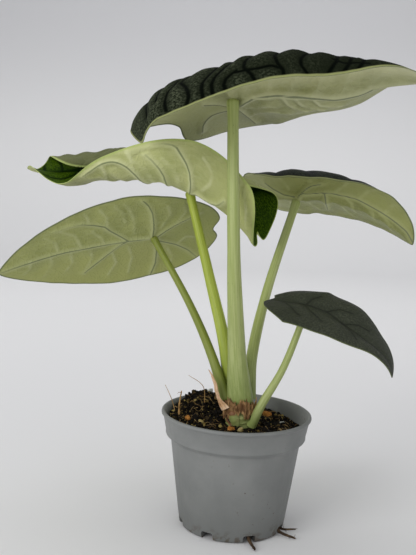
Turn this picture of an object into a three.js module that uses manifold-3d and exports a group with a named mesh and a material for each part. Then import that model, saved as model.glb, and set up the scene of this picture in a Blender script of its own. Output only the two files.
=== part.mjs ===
// Potted alocasia: a young dark-leaved plant with five leaves, together with its small grey nursery pot.
// Units mm, +Z up. Origin at the middle of the pot's flat underside.
import * as THREE from 'three';
import { mergeVertices } from 'three/addons/utils/BufferGeometryUtils.js';
import Module from 'manifold-3d';

const wasm = await Module();
wasm.setup();

// ---------- driving dimensions (mm, degrees) ----------
const GAP = 0.3; // clearance left between neighbouring pieces
const POT = {
  height: 46.0, // rim height
  rimRadius: 30.0, // outside of the rolled lip
  lipDrop: 1.6, // height of the lip
  bandTopRadius: 29.3, // rim band just under the lip
  bandFootRadius: 27.9,
  bandFootHeight: 36.6,
  wallTopRadius: 25.9, // body wall just under the step
  wallTopHeight: 35.0,
  baseRadius: 21.1,
  baseRounding: 1.4,
  wall: 1.2,
  floor: 1.4,
  drainSlots: 8,
  drainWidth: 5.0,
  drainHeight: 3.2,
  drainInnerRadius: 15.0,
  drainTurn: -70.0, // direction of the first drain slot
};
const SOIL = {
  meanTop: 42.0,
  slopeX: -0.085, // falls toward +X
  slopeY: 0.03,
  heap: 5.4, // mound at the back left
  heapX: -14.0,
  heapY: 17.0,
  heapSpread: 11.0,
  edgeDrop: 1.0,
};
const CROWN = {
  x: 1.4,
  y: -2.0,
  bottom: 20.0,
  top: 50.0,
  radius: 6.0, // at the soil line
  neckRadius: 5.2,
};
const BLADE_THICKNESS = 0.9;
// stations along a blade, from the back of the lobes (-1) over the stalk (0) to the tip (1)
const STATIONS = [-1, 0, 0.35, 0.65, 1];

// Five leaves. Each has a stalk (a curve from foot to head, with radii) and a blade.
// Blade fields: front/back are the lengths ahead of and behind the stalk, half the width of one side at its
// broadest place `broadest` ahead of the stalk, notch the depth of the cleft between the lobes.
// heading/pitch/roll place the blade; droop, lobeDroop, tipDroop, sideBend, twist and lobeTwist bend it.
// riseLeft/riseRight and bendLeft/bendRight cup each side at the five stations (degrees over the half width).
const LEAVES = {
  tall_leaf: {
    stalk: {
      foot: [1.2, -2.6, 50.6],
      low: [-0.9, -5.6, 70.0],
      mid: [-4.0, -18.0, 111.1],
      head: [-7.2, -13.9, 167.3],
      radii: [5.4, 3.6, 2.4, 2.0],
    },
    blade: {
      front: 72.5, back: 36.1, half: 27.7, broadest: -13.3, notch: 6.6,
      notchWidth: 0.2, nearWiden: 1.74,
      heading: -37.3, pitch: -3.5, roll: 20.1, droop: -19.0,
      lobeDroop: 57.1, tipDroop: 14.5,
      sideBend: 48.8, twist: -12.7, lobeTwist: -9.5,
      riseLeft: [-24, -38, -53, -43, 51], riseRight: [41, 59, 93, 83, 11],
      bendLeft: [-23, -6.5, -66, -64, 137], bendRight: [78, 67, 109, 137, 62],
    },
  },
  rolled_leaf: {
    stalk: {
      foot: [-2.6, 2.6, 50.6],
      low: [-5.9, 3.4, 71.0],
      mid: [-14.4, 13.0, 99.6],
      head: [-24.3, 19.6, 133.0],
      radii: [3, 2.5, 2.1, 1.7],
    },
    blade: {
      front: 81.6, back: 37.8, half: 38.8, broadest: -23.8, notch: 4.2,
      notchWidth: 0.16, nearWiden: 0.85,
      heading: 173.1, pitch: 21.6, roll: 103.2, droop: 42.8,
      lobeDroop: 13.5, tipDroop: -35.3,
      sideBend: -22.8, twist: -18.0, lobeTwist: 15.7,
      riseLeft: [-157, -112, -141, -139, -60], riseRight: [78, 122, 129, 136, 69],
      bendLeft: [-105, -97, -148, -109, -162], bendRight: [-225, -344, -415, -566, -667],
    },
  },
  left_leaf: {
    stalk: {
      foot: [-4.6, -2.4, 50.6],
      low: [-10.4, 1.6, 66.0],
      mid: [-21.3, 15.7, 85.0],
      head: [-40.4, 33.0, 112.4],
      radii: [2.4, 1.9, 1.6, 1.4],
    },
    blade: {
      front: 68.1, back: 32.0, half: 25.1, broadest: 12.0, notch: 3.7,
      notchWidth: 0.14, nearWiden: 1.00,
      heading: 202.0, pitch: -8.5, roll: 43.0, droop: 11.0,
      lobeDroop: -2.0, tipDroop: 0.0,
      sideBend: 9.0, twist: 10.0, lobeTwist: 8.0,
      riseLeft: [5, 5, 4.5, 4, 3], riseRight: [5, 5, 4.5, 4, 3],
      bendLeft: [27, 1, 2, 3, 5], bendRight: [28, 26, 20, 12, 5],
    },
  },
  right_leaf: {
    stalk: {
      foot: [4.8, 2.2, 50.6],
      low: [5.0, 5.0, 66.0],
      mid: [10.0, 21.0, 91.2],
      head: [21.9, 40.0, 131.4],
      radii: [2.8, 2.3, 2.0, 1.7],
    },
    blade: {
      front: 55.3, back: 28.2, half: 25.0, broadest: 7.3, notch: 3.7,
      notchWidth: 0.14, nearWiden: 1.00,
      heading: -18.0, pitch: 4.0, roll: -28.5, droop: 45.0,
      lobeDroop: -34.0, tipDroop: 0.0,
      sideBend: 22.0, twist: 18.0, lobeTwist: 8.0,
      riseLeft: [5, 18, 13, 10, 5], riseRight: [35, 80, 68, 60, 40],
      bendLeft: [10, 8, 10, 10, 5], bendRight: [106, 155, 128, 105, 70],
    },
  },
  small_leaf: {
    stalk: {
      foot: [6.0, -6.0, 41.8],
      low: [9.6, -7.8, 51.0],
      mid: [17.0, -9.2, 66.0],
      head: [25.3, -8.5, 90.9],
      radii: [2, 1.7, 1.4, 1.2],
    },
    blade: {
      front: 43.5, back: 17.5, half: 17.7, broadest: 4.0, notch: 2.5,
      notchWidth: 0.14, nearWiden: 1.00,
      heading: -32.0, pitch: -17.0, roll: 32.0, droop: 15.0,
      lobeDroop: 28.0, tipDroop: 56.0,
      sideBend: -2.0, twist: -45.0, lobeTwist: -20.0,
      riseLeft: [5, 4, 12, 5, 0], riseRight: [5, 25, 25, 10, 0],
      bendLeft: [40, 46, 30, 20, 10], bendRight: [13, 18, 35, 30, 10],
    },
  },
};

// ---------- small helpers ----------
const radians = (deg) => (deg * Math.PI) / 180;
const clamp = (x, lo, hi) => Math.min(hi, Math.max(lo, x));

function vec(list) {
  return new THREE.Vector3(list[0], list[1], list[2]);
}

// welds a geometry and drops collapsed triangles, so that it is one closed surface
function weld(geometry) {
  const bare = geometry.clone();
  bare.deleteAttribute('normal');
  bare.deleteAttribute('uv');
  const merged = mergeVertices(bare, 1e-4);
  const index = merged.index.array;
  const kept = [];
  for (let i = 0; i < index.length; i += 3) {
    const [a, b, c] = [index[i], index[i + 1], index[i + 2]];
    if (a !== b && b !== c && c !== a) kept.push(a, b, c);
  }
  merged.setIndex(kept);
  return merged;
}

function toSolid(geometry) {
  const merged = weld(geometry);
  const mesh = new wasm.Mesh({
    numProp: 3,
    vertProperties: new Float32Array(merged.attributes.position.array),
    triVerts: new Uint32Array(merged.index.array),
  });
  return new wasm.Manifold(mesh);
}

function fromSolid(solid) {
  const mesh = solid.getMesh();
  const geometry = new THREE.BufferGeometry();
  geometry.setAttribute('position', new THREE.BufferAttribute(new Float32Array(mesh.vertProperties), 3));
  geometry.setIndex(Array.from(mesh.triVerts));
  return geometry;
}

// keeps the biggest separate piece of a solid, so trimming leaves no loose chips
function biggest(solid) {
  const pieces = solid.decompose();
  pieces.sort((a, b) => b.volume() - a.volume());
  return pieces[0];
}

function material(name, color, roughness, metalness = 0) {
  const m = new THREE.MeshStandardMaterial({ color, roughness, metalness });
  m.name = name;
  return m;
}

function meshOf(name, geometry, finish) {
  const flat = geometry.toNonIndexed();
  flat.computeVertexNormals();
  const mesh = new THREE.Mesh(flat, finish);
  mesh.name = name;
  return mesh;
}

// moves every vertex of a geometry by a formula
function mapVertices(geometry, formula) {
  const pos = geometry.attributes.position;
  const p = new THREE.Vector3();
  for (let i = 0; i < pos.count; i++) {
    p.fromBufferAttribute(pos, i);
    const q = formula(p);
    pos.setXYZ(i, q.x, q.y, q.z);
  }
  return geometry;
}

// ---------- tubes along a curve ----------
function curveThrough(points) {
  return new THREE.CatmullRomCurve3(points.map(vec), false, 'centripetal');
}

function radiusAt(radii, t) {
  const s = clamp(t, 0, 1) * (radii.length - 1);
  const i = Math.min(Math.floor(s), radii.length - 2);
  return radii[i] + (radii[i + 1] - radii[i]) * (s - i);
}

function tube(points, radii, grow = 0, around = 12, along = 12) {
  const curve = curveThrough(points);
  const side = new THREE.Vector3(1, 0.13, 0.02).normalize();
  const shape = new THREE.CylinderGeometry(1, 1, 1, around, along);
  return mapVertices(shape, (p) => {
    const t = p.y + 0.5;
    const centre = curve.getPoint(t);
    const tangent = curve.getTangent(t);
    const x = side.clone().addScaledVector(tangent, -side.dot(tangent)).normalize();
    const z = x.clone().cross(tangent);
    const r = radiusAt(radii, t) + grow;
    const reach = grow * 2 * p.y;
    return centre.addScaledVector(x, p.x * r).addScaledVector(z, p.z * r).addScaledVector(tangent, reach);
  });
}

// ---------- blades ----------
// a value on a smooth curve through the five stations
function stationValue(x, values) {
  let i = 0;
  while (i < STATIONS.length - 2 && x >= STATIONS[i + 1]) i++;
  const gap = STATIONS[i + 1] - STATIONS[i];
  const slopeAt = (k) => {
    const lo = Math.max(k - 1, 0);
    const hi = Math.min(k + 1, STATIONS.length - 1);
    return (values[hi] - values[lo]) / (STATIONS[hi] - STATIONS[lo]);
  };
  const t = clamp((x - STATIONS[i]) / gap, 0, 1);
  const t2 = t * t;
  const t3 = t2 * t;
  const ends = values[i] * (2 * t3 - 3 * t2 + 1) + values[i + 1] * (3 * t2 - 2 * t3);
  return ends + gap * (slopeAt(i) * (t3 - 2 * t2 + t) + slopeAt(i + 1) * (t3 - t2));
}

// half width of a blade at a place u along its midrib
function halfWidth(leaf, u) {
  const t = clamp((u - leaf.broadest) / (leaf.front - leaf.broadest), 0, 1);
  return leaf.half * Math.pow(1 - Math.pow(t, 1.7), 0.8) + 0.25;
}

// back outline of the lobes, with the notch between them; b runs from -1 to 1 across the blade
function backEdge(leaf, b) {
  const round = Math.sqrt(Math.max(0, 1 - Math.pow(Math.abs(b), 2.1)));
  const notch = leaf.notch * Math.exp(-((b / leaf.notchWidth) ** 2));
  return leaf.broadest - (leaf.back + leaf.broadest) * round + notch;
}

// direction of the midrib and of the blade's left side at a place along it
function bladeFrame(leaf, u) {
  const x = u < 0 ? u / leaf.back : u / leaf.front;
  const ahead = Math.max(x, 0);
  const behind = Math.max(-x, 0);
  const tip = (clamp(x - 0.6, 0, 1) ** 2) / 0.16;
  const pitch = radians(leaf.pitch - leaf.droop * ahead + leaf.lobeDroop * behind - leaf.tipDroop * tip);
  const yaw = radians(leaf.heading + leaf.sideBend * ahead);
  const roll = radians(leaf.roll + leaf.twist * ahead + leaf.lobeTwist * behind);
  const run = new THREE.Vector3(
    Math.cos(pitch) * Math.cos(yaw),
    Math.cos(pitch) * Math.sin(yaw),
    Math.sin(pitch),
  );
  const level = new THREE.Vector3(-Math.sin(yaw), Math.cos(yaw), 0);
  const upright = run.clone().cross(level);
  const side = level.clone().multiplyScalar(Math.cos(roll)).addScaledVector(upright, Math.sin(roll));
  const up = upright.clone().multiplyScalar(Math.cos(roll)).addScaledVector(level, -Math.sin(roll));
  return { run, side, up };
}

// midrib of a blade as closely spaced places, found by walking along its direction
function midrib(leaf, head) {
  const steps = 240;
  const start = -leaf.back * 1.05;
  const stride = (leaf.front * 1.02 - start) / steps;
  const places = [new THREE.Vector3()];
  for (let i = 1; i <= steps; i++) {
    const here = bladeFrame(leaf, start + (i - 0.5) * stride);
    places.push(places[i - 1].clone().addScaledVector(here.run, stride));
  }
  const at = (u) => {
    const s = clamp((u - start) / stride, 0, steps - 1e-6);
    const i = Math.floor(s);
    return places[i].clone().lerp(places[i + 1], s - i);
  };
  const shift = head.clone().sub(at(0));
  return (u) => at(u).add(shift);
}

// point on the middle surface of a blade, u along the midrib, v across it (left side positive)
function bladePoint(leaf, rib, u, v) {
  const frame = bladeFrame(leaf, u);
  const x = clamp(u < 0 ? u / leaf.back : u / leaf.front, -1, 1);
  const left = v >= 0;
  const rise = radians(stationValue(x, left ? leaf.riseLeft : leaf.riseRight));
  let bend = radians(stationValue(x, left ? leaf.bendLeft : leaf.bendRight)) / leaf.half;
  if (Math.abs(bend) < 1e-6) bend = 1e-6;
  const w = Math.abs(v);
  const out = (Math.sin(rise) - Math.sin(rise - bend * w)) / bend;
  const lift = (Math.cos(rise - bend * w) - Math.cos(rise)) / bend;
  return rib(u).addScaledVector(frame.side, left ? out : -out).addScaledVector(frame.up, lift);
}

function bladeGeometry(leaf, head, thickness, along, across) {
  const rib = midrib(leaf, vec(head));
  const sheet = new THREE.BoxGeometry(1, 1, 1, along, across, 1);
  return mapVertices(sheet, (p) => {
    const a = p.x + 0.5;
    const b = Math.sin(Math.PI * p.y);
    const back = backEdge(leaf, b);
    const u = back + (leaf.front - back) * a;
    const v = b * halfWidth(leaf, u) * (b < 0 ? leaf.nearWiden : 1);
    const step = 0.2;
    const du = bladePoint(leaf, rib, u + step, v).sub(bladePoint(leaf, rib, u - step, v));
    const dv = bladePoint(leaf, rib, u, v + step).sub(bladePoint(leaf, rib, u, v - step));
    const normal = du.cross(dv).normalize();
    return bladePoint(leaf, rib, u, v).addScaledVector(normal, p.z * thickness);
  });
}

function stalkGeometry(stalk, grow = 0) {
  return tube([stalk.foot, stalk.low, stalk.mid, stalk.head], stalk.radii, grow);
}

// ---------- pot ----------
// radius of the pot's inner wall at a height
function potInnerRadius(z) {
  const shift = POT.wall * 0.5;
  const stepLow = POT.wallTopHeight + shift;
  const stepHigh = POT.bandFootHeight + shift;
  const wallSlope = (POT.wallTopRadius - POT.baseRadius) / POT.wallTopHeight;
  if (z <= stepLow) return POT.baseRadius + wallSlope * z - POT.wall;
  const lowRadius = POT.baseRadius + wallSlope * stepLow - POT.wall;
  const highRadius = POT.bandFootRadius - POT.wall;
  if (z <= stepHigh) return lowRadius + ((highRadius - lowRadius) * (z - stepLow)) / (stepHigh - stepLow);
  const rise = (z - stepHigh) / (POT.height - stepHigh);
  return highRadius + (POT.bandTopRadius - POT.wall - highRadius) * Math.min(rise, 1);
}

function potGeometry() {
  const p = [];
  const add = (r, z) => p.push(new THREE.Vector2(r, z));
  const round = POT.baseRounding;
  add(0, 0);
  add(POT.baseRadius - round, 0);
  add(POT.baseRadius - round * 0.3, round * 0.3);
  add(POT.baseRadius + 0.15, round);
  add(POT.wallTopRadius, POT.wallTopHeight);
  add(POT.bandFootRadius - 0.3, POT.bandFootHeight - 0.5);
  add(POT.bandFootRadius, POT.bandFootHeight);
  add(POT.bandTopRadius, POT.height - POT.lipDrop);
  add(POT.rimRadius - 0.1, POT.height - POT.lipDrop + 0.15);
  add(POT.rimRadius, POT.height - POT.lipDrop * 0.6);
  add(POT.rimRadius - 0.15, POT.height - 0.25);
  add(POT.rimRadius - 0.6, POT.height);
  add(POT.rimRadius - 1.2, POT.height - 0.1);
  add(potInnerRadius(POT.height - POT.lipDrop), POT.height - POT.lipDrop);
  for (const z of [POT.bandFootHeight + POT.wall * 0.5, POT.wallTopHeight + POT.wall * 0.5, 4.0]) {
    add(potInnerRadius(z), z);
  }
  add(potInnerRadius(POT.floor) - 0.8, POT.floor);
  add(0, POT.floor);
  const shell = toSolid(new THREE.LatheGeometry(p, 48).rotateX(Math.PI / 2));
  const slots = [];
  for (let i = 0; i < POT.drainSlots; i++) {
    const depth = POT.rimRadius - POT.drainInnerRadius;
    const slot = new THREE.BoxGeometry(depth, POT.drainWidth, POT.drainHeight + 2);
    slot.translate(POT.drainInnerRadius + depth / 2, 0, POT.drainHeight / 2 - 1);
    slot.rotateZ(radians(POT.drainTurn + (360 / POT.drainSlots) * i));
    slots.push(toSolid(slot));
  }
  return shell.subtract(wasm.Manifold.union(slots));
}

// ---------- soil ----------
function soilTop(x, y) {
  const mound = Math.exp(-((x - SOIL.heapX) ** 2 + (y - SOIL.heapY) ** 2) / SOIL.heapSpread ** 2);
  const edge = (Math.hypot(x, y) / 27) ** 4;
  return SOIL.meanTop + SOIL.slopeX * x + SOIL.slopeY * y + SOIL.heap * mound - SOIL.edgeDrop * edge;
}

function soilSolid() {
  const p = [new THREE.Vector2(0, POT.floor + GAP)];
  const add = (z) => p.push(new THREE.Vector2(potInnerRadius(z) - GAP * 1.6, z));
  p.push(new THREE.Vector2(potInnerRadius(POT.floor) - 1.6, POT.floor + GAP));
  [4.2, 15.0, 25.0, POT.wallTopHeight, POT.bandFootHeight + 1.2].forEach(add);
  const surface = 60;
  const outer = potInnerRadius(41) - GAP * 1.6;
  for (const f of [1, 0.9, 0.78, 0.65, 0.5, 0.35, 0.18, 0]) p.push(new THREE.Vector2(outer * f, surface));
  const lathe = new THREE.LatheGeometry(p, 40).rotateX(Math.PI / 2);
  const shaped = mapVertices(lathe, (q) => {
    if (q.z < surface - 1) return q;
    return new THREE.Vector3(q.x, q.y, soilTop(q.x, q.y));
  });
  return toSolid(shaped);
}

// ---------- crown and what clings to it ----------
function crownGeometry(grow = 0) {
  const r = CROWN.radius;
  const outline = [
    [0, CROWN.bottom - grow],
    [r * 0.4, CROWN.bottom + 0.4 - grow],
    [r * 0.76 + grow, CROWN.bottom + 4],
    [r * 0.93 + grow, CROWN.bottom + 12],
    [r + grow, 40.5],
    [r * 1.02 + grow, 44.5],
    [r * 0.95 + grow, 48],
    [CROWN.neckRadius + grow, CROWN.top + grow],
    [0, CROWN.top + grow],
  ];
  const points = outline.map(([x, z]) => new THREE.Vector2(x, z));
  const lathe = new THREE.LatheGeometry(points, 24).rotateX(Math.PI / 2);
  return lathe.translate(CROWN.x, CROWN.y, 0);
}

// a curved patch of sheet around the crown: angles in degrees, ragged upper edge
function collarGeometry(grow = 0) {
  const sheet = new THREE.BoxGeometry(1, 1, 1, 22, 3, 1);
  return mapVertices(sheet, (p) => {
    const turn = radians(-92 + p.x * 138);
    const ragged = 0.9 * Math.sin(p.x * 17) + 0.5 * Math.sin(p.x * 41 + 1);
    const low = 46.6 + 0.7 * Math.sin(p.x * 9 + 2);
    const high = 52.4 + ragged - 3 * p.x * p.x;
    const z = low + (high - low) * (p.y + 0.5) + grow * 2 * p.y;
    const r = 6.95 + 0.25 * (p.y + 0.5) + p.z * (0.7 + 2 * grow);
    return new THREE.Vector3(CROWN.x + r * Math.cos(turn), CROWN.y + r * Math.sin(turn), z);
  });
}

// a tapering strip of sheet along a curve
function stripGeometry(points, width, tipWidth, thickness, facing) {
  const curve = curveThrough(points);
  const out = vec(facing).normalize();
  const sheet = new THREE.BoxGeometry(1, 1, 1, 10, 4, 1);
  return mapVertices(sheet, (p) => {
    const t = p.x + 0.5;
    const run = curve.getTangent(t);
    const across = out.clone().cross(run).normalize();
    const normal = run.clone().cross(across);
    const w = tipWidth + (width - tipWidth) * (1 - t ** 1.5);
    const cup = 0.35 * w * p.y * p.y;
    return curve.getPoint(t).addScaledVector(across, p.y * w).addScaledVector(normal, p.z * thickness - cup);
  });
}

// a small stone or bark chip, sitting partly in the soil
function chipGeometry(x, y, size, flat, turn, grow = 0) {
  const chip = new THREE.DodecahedronGeometry(size / 2 + grow, 0);
  chip.scale(1, 0.8, flat);
  chip.rotateX(turn * 0.4);
  chip.rotateZ(turn);
  return chip.translate(x, y, soilTop(x, y) + size * flat * 0.2);
}

const CHIPS = {
  bark_chip_front: { x: -1.8, y: -12.4, size: 3.0, flat: 0.6, turn: 0.5, finish: 'bark' },
  bark_chip_left: { x: -19.0, y: -6.0, size: 2.8, flat: 0.6, turn: 1.9, finish: 'bark' },
  bark_chip_right: { x: 12.6, y: 13.0, size: 3.6, flat: 0.7, turn: 2.6, finish: 'bark' },
  grit_front: { x: 1.9, y: -12.6, size: 2.4, flat: 0.8, turn: 0.2, finish: 'grit' },
  grit_left: { x: -13.6, y: -9.6, size: 2.6, flat: 0.8, turn: 1.2, finish: 'grit' },
  grit_right: { x: 11.4, y: -13.6, size: 2.2, flat: 0.8, turn: 2.2, finish: 'grit' },
  perlite_back: { x: -11.6, y: 19.0, size: 2.6, flat: 0.85, turn: 0.9, finish: 'perlite' },
  perlite_side: { x: 18.6, y: 4.0, size: 2.0, flat: 0.85, turn: 2.9, finish: 'perlite' },
};

// ---------- roots and dry trim ----------
const ROOTS = {
  root_front: {
    path: [[2.4, -3.4, 19.3], [4.6, -11.0, 9.0], [7.1, -19.4, 1.8], [9.6, -26.4, 0.85]],
    radii: [1.3, 1.0, 0.65, 0.4],
  },
  root_right: {
    path: [[4.2, -1.6, 19.3], [11.5, -5.8, 9.0], [18.5, -10.0, 1.7], [25.4, -14.4, 0.8]],
    radii: [1.2, 0.95, 0.6, 0.35],
  },
  root_right_thin: {
    path: [[3.2, 0.6, 19.3], [11.6, -2.2, 8.0], [19.6, -7.4, 1.6], [25.8, -9.0, 2.2]],
    radii: [0.9, 0.7, 0.5, 0.3],
  },
  root_left: {
    path: [[-0.6, -1.4, 19.3], [-6.6, -3.2, 12.5], [-12.4, -2.2, 5.0]],
    radii: [1.2, 0.9, 0.5],
  },
  root_back: {
    path: [[1.0, 1.2, 19.3], [0.4, 8.0, 12.5], [3.0, 13.6, 4.6]],
    radii: [1.2, 0.9, 0.5],
  },
};

const DRY_TRIM = {
  dry_stalk: {
    path: [[-22.6, -3.4, 41.5], [-22.9, -3.0, 47.5], [-22.2, -2.8, 53.6]],
    radii: [0.55, 0.5, 0.4],
  },
  dry_hair_left: {
    path: [[-24.4, 2.0, 42.0], [-26.4, 1.6, 48.6], [-29.3, 1.0, 54.8]],
    radii: [0.35, 0.3, 0.25],
  },
  dry_hair_back: {
    path: [[-13.2, 7.4, 44.8], [-14.2, 7.0, 53.4], [-20.4, 6.0, 58.0]],
    radii: [0.35, 0.3, 0.25],
  },
};

// ---------- assembly ----------
function buildPlant() {
  const group = new THREE.Group();
  group.name = 'potted_alocasia';
  const put = (name, geometry, finish) => group.add(meshOf(name, geometry, finish));
  const finishes = {
    pot: material('grey_plastic', 0x7d868a, 0.62),
    soil: material('potting_soil', 0x2a2018, 0.97),
    crown: material('crown_skin', 0x7c8a45, 0.7),
    root: material('root_skin', 0x4a3826, 0.85),
    dry: material('dry_husk', 0xb08a5c, 0.85),
    bark: material('bark_chip', 0xa9662c, 0.85),
    grit: material('grit_stone', 0xb9a06a, 0.85),
    perlite: material('perlite_grain', 0xc9cbc6, 0.9),
  };

  const pot = potGeometry();
  put('pot', fromSolid(pot), finishes.pot);

  const grown = toSolid(crownGeometry(GAP));
  const taken = [grown];
  const stalks = [];
  put('crown', weld(crownGeometry()), finishes.crown);

  for (const [name, leaf] of Object.entries(LEAVES)) {
    const green = material(`${name}_green`, 0x2f3d2f, 0.55);
    const stalkGreen = material(`${name}_stalk_green`, 0x93a95c, 0.5);
    const size = leaf.blade.half > 30 ? [22, 18] : [18, 14];
    const blade = bladeGeometry(leaf.blade, leaf.stalk.head, BLADE_THICKNESS, ...size);
    put(`${name}_blade`, weld(blade), green);
    const clear = toSolid(bladeGeometry(leaf.blade, leaf.stalk.head, BLADE_THICKNESS + 2 * GAP + 0.2, ...size));
    let stalk = toSolid(stalkGeometry(leaf.stalk));
    for (const other of [...taken, clear]) stalk = stalk.subtract(other);
    put(`${name}_stalk`, fromSolid(biggest(stalk)), stalkGreen);
    const wide = toSolid(stalkGeometry(leaf.stalk, GAP));
    taken.push(wide);
    stalks.push(wide);
  }

  const trimmed = (whole, others) => {
    let solid = whole;
    for (const other of others) solid = solid.subtract(other);
    return biggest(solid);
  };
  const stub = () => tube([[0.6, -6.6, 42.6], [-0.6, -8.0, 45.2], [-2.2, -9.2, 48.2]], [2.2, 2.1, 1.2]);
  const stubWide = toSolid(tube([[0.6, -6.6, 42.6], [-0.6, -8.0, 45.2], [-2.2, -9.2, 48.2]], [2.2, 2.1, 1.2], GAP));
  put('stalk_stub', fromSolid(trimmed(toSolid(stub()), taken)), finishes.crown);
  const collarWide = toSolid(collarGeometry(GAP));
  put('papery_collar', fromSolid(trimmed(toSolid(collarGeometry()), [...taken, stubWide])), finishes.dry);
  const scalePath = [[-4.6, -7.6, 48.6], [-8.4, -6.2, 55.0], [-11.2, -4.4, 62.6]];
  const scale = stripGeometry(scalePath, 4.6, 0.5, 0.7, [-0.7, -0.7, 0.1]);
  put('dried_scale', fromSolid(trimmed(toSolid(scale), [...taken, stubWide, collarWide])), finishes.dry);

  const cuts = [grown, stubWide, ...stalks];
  for (const [name, root] of Object.entries(ROOTS)) {
    put(name, weld(tube(root.path, root.radii, 0, 8, 10)), finishes.root);
    cuts.push(toSolid(tube(root.path, root.radii, GAP, 8, 10)));
  }
  for (const [name, piece] of Object.entries(DRY_TRIM)) {
    put(name, weld(tube(piece.path, piece.radii, 0, 6, 5)), finishes.dry);
    cuts.push(toSolid(tube(piece.path, piece.radii, GAP, 6, 5)));
  }
  for (const [name, chip] of Object.entries(CHIPS)) {
    put(name, weld(chipGeometry(chip.x, chip.y, chip.size, chip.flat, chip.turn)), finishes[chip.finish]);
    cuts.push(toSolid(chipGeometry(chip.x, chip.y, chip.size, chip.flat, chip.turn, GAP)));
  }
  put('soil', fromSolid(trimmed(soilSolid(), cuts)), finishes.soil);
  return group;
}

const group = buildPlant();
export default group;
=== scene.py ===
"""Potted alocasia: the finished look of a young dark-leaved houseplant in its small grey nursery pot.

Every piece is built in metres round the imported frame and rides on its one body. Sizes in the classes are
in millimetres and degrees, in the frame's own axes: +Z up, -Y towards the viewer, pot axis on Z.
"""

import logging
import math
from dataclasses import dataclass, field, replace
from enum import Enum

import bmesh
import bpy
import numpy as np
from mathutils import Matrix, Vector, noise
from mathutils.kdtree import KDTree


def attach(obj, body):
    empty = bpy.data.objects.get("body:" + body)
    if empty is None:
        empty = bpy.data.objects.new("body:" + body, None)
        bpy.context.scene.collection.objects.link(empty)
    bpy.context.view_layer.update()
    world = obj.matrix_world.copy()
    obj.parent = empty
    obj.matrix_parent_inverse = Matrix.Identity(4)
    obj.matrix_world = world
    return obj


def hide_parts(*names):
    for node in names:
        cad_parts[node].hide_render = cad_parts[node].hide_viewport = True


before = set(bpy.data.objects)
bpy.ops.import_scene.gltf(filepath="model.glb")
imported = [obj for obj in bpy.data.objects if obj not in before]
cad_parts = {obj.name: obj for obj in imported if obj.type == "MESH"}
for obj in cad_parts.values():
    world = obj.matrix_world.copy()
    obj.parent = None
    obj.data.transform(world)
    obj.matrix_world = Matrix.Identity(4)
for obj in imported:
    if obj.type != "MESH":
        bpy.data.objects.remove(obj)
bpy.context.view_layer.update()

log = logging.getLogger("alocasia")
MM = 0.001
TAU = 2 * math.pi
BODY = "root"

Pair = tuple[float, float]
Triple = tuple[float, float, float]
Five = tuple[float, float, float, float, float]
Socket = bpy.types.NodeSocket


class Slot(Enum):
    """The record's material slots."""

    POT = "pot_plastic"
    SOIL = "potting_soil"
    BLADE = "leaf_blade"
    STALK = "leaf_stalk"
    CROWN = "crown_skin"
    HUSK = "dry_husk"
    ROOT = "root_skin"
    BARK = "bark_chip"
    GRIT = "grit_stone"
    PERLITE = "perlite_grain"


class UpperTint(Enum):
    """How the upper face of a blade is coloured: a hardened dark leaf, or a fresh bright one."""

    DARK = "dark"
    BRIGHT = "bright"


# ---- numbers and curves


def smooth(x: np.ndarray, low: float, high: float) -> np.ndarray:
    """Eased step from 0 at low to 1 at high.

    Args:
        x: values to step.
        low: where the step starts.
        high: where the step ends.

    Returns:
        Values from 0 to 1.
    """
    t = np.clip((x - low) / (high - low), 0.0, 1.0)
    return t * t * (3 - 2 * t)


def unit(vectors: np.ndarray) -> np.ndarray:
    """Vectors scaled to length one."""
    return vectors / np.maximum(np.linalg.norm(vectors, axis=-1, keepdims=True), 1e-12)


def wobble(points: np.ndarray, scale: float, seed: float = 0.0) -> np.ndarray:
    """Smooth noise from -1 to 1 at each point.

    Args:
        points: places in millimetres, one per row.
        scale: size of a lump in millimetres.
        seed: shifts the pattern.

    Returns:
        One value per point.
    """
    shift = Vector((seed * 7.13, seed * 3.71, seed * 5.17))
    return np.array([noise.noise(Vector(p) / scale + shift) for p in points])


@dataclass(frozen=True)
class Spline:
    """A smooth curve through a few points, with even share of its length between them."""

    points: tuple[Triple, ...]

    def at(self, t: np.ndarray) -> np.ndarray:
        """Places on the curve.

        Args:
            t: shares of the curve, 0 at its foot and 1 at its head.

        Returns:
            One point per share.
        """
        p = np.array(self.points, float)
        p = np.vstack([2 * p[0] - p[1], p, 2 * p[-1] - p[-2]])
        spans = len(self.points) - 1
        s = np.clip(np.asarray(t, float), 0, 1) * spans
        i = np.minimum(s.astype(int), spans - 1)
        w = (s - i)[:, None]
        a, b, c, d = p[i], p[i + 1], p[i + 2], p[i + 3]
        k0 = np.linalg.norm(b - a, axis=1)[:, None] ** 0.5
        k1 = np.linalg.norm(c - b, axis=1)[:, None] ** 0.5
        k2 = np.linalg.norm(d - c, axis=1)[:, None] ** 0.5
        start = ((b - a) / k0 - (c - a) / (k0 + k1) + (c - b) / k1) * k1
        end = ((c - b) / k1 - (d - b) / (k1 + k2) + (d - c) / k2) * k1
        w2, w3 = w * w, w * w * w
        return (
            b * (2 * w3 - 3 * w2 + 1)
            + start * (w3 - 2 * w2 + w)
            + c * (3 * w2 - 2 * w3)
            + end * (w3 - w2)
        )

    def tangent(self, t: np.ndarray) -> np.ndarray:
        """Directions of the curve at shares t of it."""
        t = np.asarray(t, float)
        return unit(self.at(np.minimum(t + 1e-3, 1)) - self.at(np.maximum(t - 1e-3, 0)))

    def length(self) -> float:
        """Length of the curve in millimetres."""
        p = self.at(np.linspace(0, 1, 200))
        return float(np.linalg.norm(np.diff(p, axis=0), axis=1).sum())


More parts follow.
